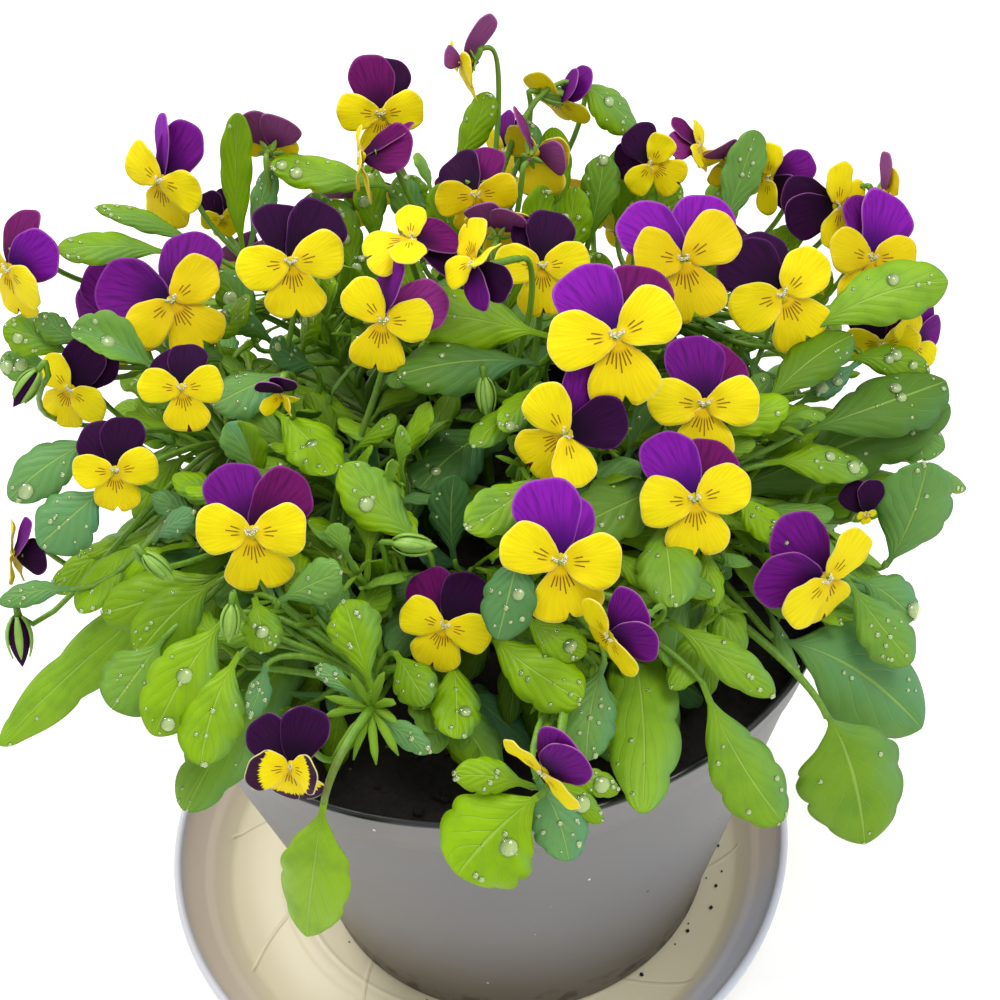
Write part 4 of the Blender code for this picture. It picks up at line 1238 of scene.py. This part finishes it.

# Further leaves that show at the front: tip, foot of the blade, width and tone, which holds painted shade as
# well as the leaf's own tone. Two more numbers may follow: painted sky reflection, and how far the sides
# droop.
PLAIN_SKY_REFLECTION, PLAIN_DROOP = 0, 0.4
FRONT_LEAVES = (
    ((-100, 30, 225), (-74, 38, 216), 9, 0.8),
    ((-91, 41, 230), (-68, 45, 213), 6, 0.75),
    ((-52, 54, 246), (-57, 47, 208), 8, 0.85, 0, 0.2),
    ((-46, 53, 231), (-55, 47, 211), 7, 0.5, 0.5),
    ((-46, 50, 233), (-16, 53, 221), 10, 0.85),
    ((-108, 23, 211), (-100, 23, 202), 7, 0.6, 0.1),
    ((-117, 22, 209), (-103, 22, 199), 10, 0.85),
    ((-120, 20, 200), (-108, 20, 195), 8, 0.7, 0.3),
    ((-92, -4, 223), (-75, -6, 212), 10, 0.75, 0.4, -0.6),
    ((-62, -11, 203), (-46, 2, 201), 12, 0.6, 0.5, 0.5),
    ((-12, -8, 223), (19, -8, 213), 14, 0.85),
    ((-16, -20, 214), (16, -7, 204), 13, 0.3, 0.1, 0.5),
    ((-11, 56, 223), (-10, 53, 208), 9, 0.7),
    ((12, 59, 243), (0, 56, 222), 8, 0.7),
    ((50, 58, 229), (36, 62, 241), 11, 0.7, 0, 0.5),
    ((77, 36, 238), (68, 28, 215), 9, 0.6, 0.4, 0.2),
    ((121, 8, 207), (84, 1, 199), 14, 0.85, 0.1),
    ((96, 0, 199), (71, -18, 193), 11, 0.35),
    ((120, -4, 185), (80, -18, 184), 16, 0.25, 0.1, 0.5),
    ((117, 0, 185), (97, 4, 188), 8, 0.6),
    ((86, -5, 186), (98, 2, 188), 6, 0.2, 0.8),
    ((121, -8, 166), (101, -4, 173), 13, 0.7, 0.3),
    ((97, -22, 173), (72, -24, 180), 9, 0.8),
    ((132, 0, 144), (114, -5, 160), 5, 0.8),
    ((104, -50, 148), (92, -44, 156), 12, 0.6, 0.5, 0.5),
    ((70, -54, 182), (62, -36, 182), 8, 0.85),
    ((101, -61, 145), (88, -48, 160), 12, 0.7, 0.25),
    ((63, -80, 160), (42, -66, 171), 8, 0.8, 0.1),
    ((62, -100, 140), (48, -77, 161), 14, 0.75, 0.1),
    ((19, -93, 159), (25, -75, 168), 11, 0.6, 0.4),
    ((25, -101, 157), (14, -99, 161), 5, 0.8),
    ((21, -106, 154), (13, -99, 161), 5, 0.8),
    ((-10, -98, 164), (5, -100, 161), 7, 0.8),
    ((13, -113, 151), (8, -100, 161), 11, 0.6, 0.7),
    ((-15, -91, 164), (-26, -84, 168), 5, 0.5, 0.6),
    ((-39, -73, 175), (-31, -81, 172), 4, 0.5, 0.6),
    ((-9, -87, 163), (-9, -64, 163), 10, 0.75),
    ((-15, -78, 165), (-21, -67, 169), 9, 0.65),
    ((19, -87, 172), (0, -60, 167), 12, 0.75),
    ((21, -77, 176), (9, -63, 175), 8, 0.7),
    ((-31, -65, 187), (-27, -78, 173), 11, 0.8, 0, 0.5),
    ((-30, -36, 202), (-14, -45, 184), 12, 0.95, 0, 0.3),
    ((0, -36, 204), (14, -20, 202), 7, 0.6),
    ((7, -35, 207), (16, -18, 205), 7, 0.8),
    ((-3, -56, 197), (14, -40, 197), 10, 0.8, 0, 0.1),
    ((2, -76, 182), (8, -63, 195), 11, 0.25, 0.5),
    ((-14, -24, 182), (5, -6, 184), 15, 0.15, 0.2),
    ((22, -51, 190), (44, -38, 188), 14, 0.5, 0, 0.2),
    ((41, -71, 182), (42, -46, 184), 13, 0.6, 0.1),
    ((-5, -34, 194), (-7, -38, 172), 9.5, 0.1, 0.3),
    ((-113, -22, 189), (-92, -12, 196), 12, 0.5, 0.6),
    ((-106, -32, 182), (-90, -23, 190), 14, 0.5, 0.7),
    ((-110, -25, 160), (-94, -17, 167), 8, 0.85),
    ((-98, -42, 168), (-85, -25, 172), 9, 0.85),
    ((-92, -45, 170), (-60, -44, 179), 13, 0.6),
    ((-82, -59, 169), (-63, -48, 179), 13, 0.6),
    ((-117, -40, 172), (-101, -38, 172), 6, 0.5, 0.5),
    ((-88, -69, 163), (-76, -58, 172), 16, 0.6, 0.2),
    ((-77, -79, 164), (-60, -61, 179), 14, 0.85),
    ((-66, -87, 162), (-57, -68, 174), 13, 0.85),
    ((-31, -62, 193), (-46, -58, 182), 9, 0.6, 0.4),
    ((-50, -69, 177), (-52, -59, 182), 8, 0.65),
    ((-33, -38, 201), (-48, -8, 197), 12, 0.85),
    ((-55, -78, 166), (-51, -71, 173), 5, 0.5, 0.7),
    ((-66, -37, 192), (-79, -28, 177), 6, 0.4, 0.7),
    ((-52, 14, 216), (-66, 20, 200), 8, 0.7),
    ((-60, 18, 210), (-50, 24, 194), 7, 0.5, 0.2),
    ((-75, 12, 207), (-62, 18, 195), 8, 0.6),
    ((-84, 6, 200), (-70, 10, 189), 9, 0.75),
    ((-35, 12, 214), (-42, 18, 196), 8, 0.7),
    ((-48, 6, 208), (-40, 14, 194), 8, 0.35, 0.3),
    ((-58, 0, 202), (-48, 8, 190), 9, 0.5),
    ((-27, 20, 219), (-30, 26, 200), 8, 0.6),
    ((28, 58, 232), (30, 48, 209), 8, 0.7),
    ((40, 50, 227), (34, 42, 204), 9, 0.5, 0.1),
    ((24, 44, 223), (18, 36, 202), 8, 0.8),
    ((48, 60, 224), (44, 54, 202), 9, 0.6),
    ((60, 50, 217), (50, 44, 198), 9, 0.75, 0.1),
    ((-3, 50, 223), (2, 42, 202), 9, 0.7),
    ((-14, 54, 224), (-10, 46, 203), 8, 0.45, 0.2),
    ((-32, 50, 221), (-28, 40, 202), 9, 0.7),
    ((14, 26, 217), (10, 20, 197), 8, 0.6),
    ((72, 38, 208), (62, 34, 190), 9, 0.6),
    ((36, 26, 213), (32, 22, 195), 9, 0.5),
    ((-14, 30, 215), (-10, 24, 197), 8, 0.8),
    ((88, 26, 200), (78, 20, 186), 9, 0.4, 0.2),
    ((98, 34, 196), (88, 30, 183), 9, 0.7),
    ((20, 62, 233), (22, 52, 212), 8, 0.4, 0.2),
    ((32, 44, 222), (27, 36, 203), 10, 0.75),
    ((8, 40, 219), (4, 34, 200), 9, 0.35),
    ((56, 62, 222), (50, 54, 203), 10, 0.8),
    ((66, 48, 213), (58, 42, 194), 10, 0.3),
    ((76, 58, 212), (66, 52, 193), 10, 0.7, 0.1),
    ((90, 44, 204), (80, 38, 187), 9, 0.8),
    ((-22, 58, 226), (-22, 48, 206), 8, 0.8),
    ((-38, 56, 220), (-36, 46, 202), 9, 0.4, 0.2),
    ((-44, 34, 216), (-42, 28, 198), 9, 0.75),
    ((-62, 34, 212), (-56, 28, 194), 9, 0.5),
    ((-80, 26, 203), (-70, 24, 189), 9, 0.7, 0.2),
    ((-26, 34, 213), (-24, 28, 195), 9, 0.3),
)
# The stalks of the leaves low at the front and far at the left start where no flower is in their way.
LOW_START, LEFT_START = np.array([26.0, -58, 150]), np.array([-72.0, 26, 184])
for number, (tip, foot, width, tone_share, *rest) in enumerate(FRONT_LEAVES):
    cool_share, droop = (*rest, *(PLAIN_SKY_REFLECTION, PLAIN_DROOP)[len(rest) :])
    tip, foot = np.array(tip, float), np.array(foot, float)
    heading = unit(tip - foot)
    lift, roll = 0.05 + 0.05 * math.sin(number * 2.4), 12 * math.sin(number * 1.7)
    base, seed = foot - heading * 2, 80 + number
    surface, uv = leaf_surface(base, tip, width * 1.15, 36, 7, seed, lift, roll, 4.2, 0.07, droop)
    named.append(surface)
    patch = keep_leaf(surface, uv, tone_share, cool_share)
    piece(f"blade_front_{number + 1:02d}", [patch], [leaf_top, leaf_under])
    start = nearest_shoot(foot, 16)[0]
    if foot[1] <= -94:
        start = LOW_START
    elif foot[0] < -85 and foot[1] > -8:
        start = LEFT_START
    run = np.linalg.norm(foot - start)
    ahead = foot - heading * 0.35 * run - (0, 0, 0.1 * run)
    if start is LEFT_START and foot[1] < 10:
        ahead = foot + (10, 12, 2)
    line = bezier(start, start + (0, 0, 0.3 * run), ahead, foot - heading, 12)
    leaf_stalks.append(tube(line, np.linspace(1.0, 0.7, 12), 6))
piece("leaf_stalks", leaf_stalks, [stalk_green])

# ---------------------------------------------------------------- side shoots and their leaves
# Every main stem branches into thin side shoots, and each of these carries leaves in a spiral with small
# cut stipules at their feet. They fill the plant between the flowers.
CAMERA_PLACE = np.array(camera.matrix_world.translation) / MM - POT_AXIS
# Rings of side shoots: out from the axis, height of the tip, how many, first bearing, leaf length, and how
# far the leaves rise, in degrees.
RINGS = (
    (84, 150, 14, 6, 34, -18),
    (74, 168, 13, 20, 33, 4),
    (60, 184, 11, 0, 31, 20),
    (42, 194, 9, 15, 31, 35),
    (20, 198, 6, 40, 31, 45),
    (48, 152, 9, 10, 32, 0),
    (70, 150, 12, 14, 34, -4),
    (58, 166, 11, 30, 34, 10),
    (40, 174, 9, 0, 36, 14),
    (22, 178, 6, 20, 36, 20),
    (26, 152, 6, 50, 34, 8),
    (78, 180, 11, 60, 30, 12),
    (88, 166, 12, 75, 30, 0),
    (52, 208, 16, 12, 24, 30),
    (34, 214, 12, 33, 23, 40),
    (68, 204, 18, 50, 23, 20),
    (82, 190, 16, 5, 25, 10),
)
GOLDEN = 137.5  # degrees from one leaf to the next round a shoot
STEPS = 12  # of a side shoot's line
LEAF_STEPS = (11, 10, 8, 7, 5)  # the steps that carry a leaf, from the tip down
TRIES, TRY_TURN = 8, 47  # a leaf that is in the way is turned on round the shoot, in degrees
FILL_ROWS = 22  # of points along a leaf of a side shoot
HIGH = 195  # shoots above this grow only behind, where no flower stands in front of the plant's heart
HEART = np.array([0, 0, 120])
DOME = (121, 107, 112)  # how far the plant reaches from its heart along x, y and z
bloom_places, bloom_axes, bloom_widths = map(np.array, zip(*blooms))
# Bare soil and the pot's lip stay in view from the front, as the single leaves do: x, y, z and radius.
BARE = (
    *((-30, -70, 128, 9), (-16, -82, 130, 9), (-45, -72, 130, 8), (-62, -66, 136, 9)),
    *((-30, -88, 139, 8), (-48, -80, 139, 8), (0, -60, 150, 6), (-8, -30, 168, 7)),
)
in_view = [surface[row, surface.shape[1] // 2] for surface in named for row in (10, 16, 22, 28)]
view_places = np.array(in_view + [place[:3] for place in BARE])
view_radii = np.array([5.0] * len(in_view) + [place[3] for place in BARE])


def off_axes(points, places, axes):
    """How far each point lies ahead of each place along its axis, and how far aside from that axis."""
    rel = points[:, None] - places
    ahead = (rel * axes).sum(-1)
    return ahead, np.linalg.norm(rel - ahead[..., None] * axes, axis=-1)


def hiding(points, places, radii):
    """How many points lie between the camera and a place, within the place's radius of its sight line."""
    nearer, aside = off_axes(points, places, unit(CAMERA_PLACE - places))
    return ((nearer > 2) & (aside < radii)).any(1).sum()


def in_the_way(points):
    """True if a leaf runs through a flower, hides one from the front, cuts the pot, or leaves the plant's
    outline. The outline is a dome round the plant's heart, |x, y|^n + |z|^n < 1, smaller in front and
    squarer behind."""
    depth, radius = off_axes(points, bloom_places, bloom_axes)
    through = (np.abs(depth + 1.0) < 4.0) & (radius < 0.60 * bloom_widths)
    x, y, z = points.T
    out = np.hypot(x, y)
    in_lip = (out > RIM - 9) & (out < RIM + 3) & (z < TOP + 2.5)
    in_soil = (out <= RIM - 9) & (z < SOIL_LEVEL + 4)
    reach = 1 - 0.15 * np.clip(-y / 60, 0, 1)
    square = 2 + 2 * np.clip(y / 30, 0, 1)
    level = (x / DOME[0]) ** 2 + (y / (DOME[1] * reach)) ** 2
    bound = level ** (square / 2) + (np.abs(z - HEART[2]) / (DOME[2] * reach)) ** square
    covered = hiding(points, bloom_places, 0.46 * bloom_widths) + hiding(points, view_places, view_radii)
    outside = (bound > 1) | (z < 108)
    return through.any() or covered > 1 or (in_lip | in_soil | outside).any()


chance = np.random.default_rng(77)
shoot_leaves, shoot_tubes, shoot_stipules = ({stem: [] for stem in STEMS} for _ in range(3))


def star(stem, foot, run, count, size, checked=True):
    """Cut stipules and young leaves: narrow blades that spread from one place on a shoot."""
    one = unit(np.cross(run, (0.3, 0.2, 1.0)))
    two = np.cross(run, one)
    for k in range(count):
        turn = np.radians(360 * k / count + chance.uniform(-14, 14))
        point = unit((one * np.cos(turn) + two * np.sin(turn)) * chance.uniform(0.6, 1.1) + run * 0.6)
        end = foot + point * size * chance.uniform(0.7, 1.2)
        shape = {"teeth": 1.5, "stalk": 0.06, "bite": 0.05, "taper": 1.0}
        small, uv = leaf_surface(foot, end, size * 0.19, 7, 3, k, **shape)
        if not checked or not in_the_way(small[3:].reshape(-1, 3)):
            shoot_stipules[stem].append(sheet(small, 0.3, uv, (0, 1), tone=0.75, cool=0.1))


for out, height, count, first, leaf_length, leaf_rise in RINGS:
    for k in range(count):
        bearing = first + 360 * k / count + chance.uniform(-6, 6)
        tip = outward(bearing) * out * chance.uniform(0.9, 1.05) + (0, 0, height + chance.uniform(-5, 5))
        if height > HIGH and tip[1] < 8:
            continue
        start, stem = nearest_shoot(tip, 22)
        away = unit(tip * (1, 1, 0) + (0, 0, 1e-6))
        line = bezier(start, start + (0, 0, 9) + away * 3, tip - away * 9 - (0, 0, 6), tip, STEPS)
        heading = unit(np.gradient(line, axis=0))
        leafy = []
        spin = chance.uniform(0, 360)
        for n, step in enumerate(LEAF_STEPS):
            foot, run = line[step], heading[step]
            one = unit(np.cross(run, away + (0.01, 0, 0)))
            two = np.cross(run, one)
            for attempt in range(TRIES):
                turn = np.radians(spin + GOLDEN * n + attempt * TRY_TURN)
                spray = unit(one * np.cos(turn) + two * np.sin(turn) + away * 0.55)
                spread = np.radians(chance.uniform(40, 72) if n else chance.uniform(5, 30))
                lead = unit(run * np.cos(spread) + spray * np.sin(spread))
                lead = unit(lead + (0, 0, np.sin(np.radians(leaf_rise)) * 0.6))
                length = leaf_length * chance.uniform(0.70, 1.15) * (1.0 if n else 0.75)
                length *= 1 - 0.05 * attempt
                end = foot + lead * length - (0, 0, 0.10 * length)
                width = length * chance.uniform(0.29, 0.40)
                lift, roll = chance.uniform(0.03, 0.14), chance.uniform(-30, 30)
                seed, up = int(chance.integers(1 << 30)), unit(foot * (0.4, 0.55, 0) / 70 + (0, 0, 0.85))
                shape = (width, FILL_ROWS, 5, seed, lift, roll, 3.6, 0.28)
                surface, uv = leaf_surface(foot, end, *shape, up=up, bite=0.2)
                if not in_the_way(surface[5::2, ::2].reshape(-1, 3)):
                    break
            else:
                continue
            # Painted shade: the nearer a leaf's tip lies to the plant's heart, the darker its tone, with a
            # random spread.
            depth = np.linalg.norm((end - HEART) / (116, 102, 100))
            tone_share = np.clip(0.15 + 1.15 * (depth - 0.45) + chance.uniform(-0.25, 0.25), 0.0, 1)
            # A random share of painted sky reflection.
            cool_share = max(0.0, chance.uniform(-1.0, 0.6))
            shoot_leaves[stem].append(keep_leaf(surface, uv, tone_share, cool_share))
            leafy.append(step)
        if not leafy:
            continue
        last = max(leafy) + 1
        shoot_tubes[stem].append(tube(line[:last], np.linspace(1.2, 0.7, STEPS)[:last], 6))
        for step, most in zip(leafy, (3, 2)):
            if not hiding(line[step : step + 1], bloom_places, 0.7 * bloom_widths):
                star(stem, line[step], heading[step], most, chance.uniform(6, 9))
star("stem_front_left_low", np.array([-27.0, -82, 170]), outward(-20, 35), 11, 12.5, checked=False)
for stem in STEMS:
    for kind, patches, finishes, slot in (
        ("side_shoots_", shoot_tubes[stem], [stalk_green], "stem"),
        ("leaves_", shoot_leaves[stem], [leaf_top, leaf_under], "leaf"),
        ("stipules_", shoot_stipules[stem], [leaf_top, leaf_under], "leaf"),
    ):
        if patches:
            piece(kind + stem.removeprefix("stem_"), patches, finishes)

# ---------------------------------------------------------------- water drops
# Clear drops lie on the leaves after watering: low round beads of plain water, a few of them large.
water = Finish("water", 0.03, Alpha=0.5, Specular_IOR_Level=1.0, Coat_Weight=1.0, Coat_Roughness=0.02)
# Painted light: each drop is dark green on its side towards the window, at the back left, and pale on its
# front right, where light gathers through the bead.
x, y, z = water.parts(water.node("NewGeometry", output="Normal"))
painted_light_side = x * 0.55 + y * -0.75
water.paint(water.mix(water.ramp(painted_light_side, -0.2, 0.75), (40, 78, 16), (224, 244, 170)))
drops = []
for surface in grown:
    normal = normals(surface)
    rows, columns = surface.shape[:2]
    single = rows > FILL_ROWS
    for _ in range(chance.integers(5, 12) if single else chance.integers(0, 3)):
        row, column = chance.integers(rows // 3, rows - 1), chance.integers(1, columns - 1)
        over = normal[row, column]
        if over[2] < 0.25:
            continue
        inner = 0.4 < row / rows < 0.85 and 0.3 < column / columns < 0.65
        large = single and chance.uniform() < 0.2 and inner
        size = chance.uniform(1.3, 2.2) if large else chance.uniform(0.3, 0.85)
        squash = chance.uniform(0.45, 0.7)
        middle = surface[row, column] + over * LEAF_THICKNESS / 2 + POT_AXIS
        one = unit(np.cross(over, (0.3, 0.9, 0.1)))
        axes = np.array([one, np.cross(over, one), over])
        lifts = np.radians([0, 22, 44, 66] if large else [0, 32, 62])
        rings = swung(np.cos(lifts), np.sin(lifts) * squash, 16 if large else 6)
        poles = (0, 0, -0.08) @ axes * size + middle, (0, 0, squash) @ axes * size + middle
        drops.append(round_patch(rings * size @ axes + middle, *poles))
piece("water_drops", drops, [water])
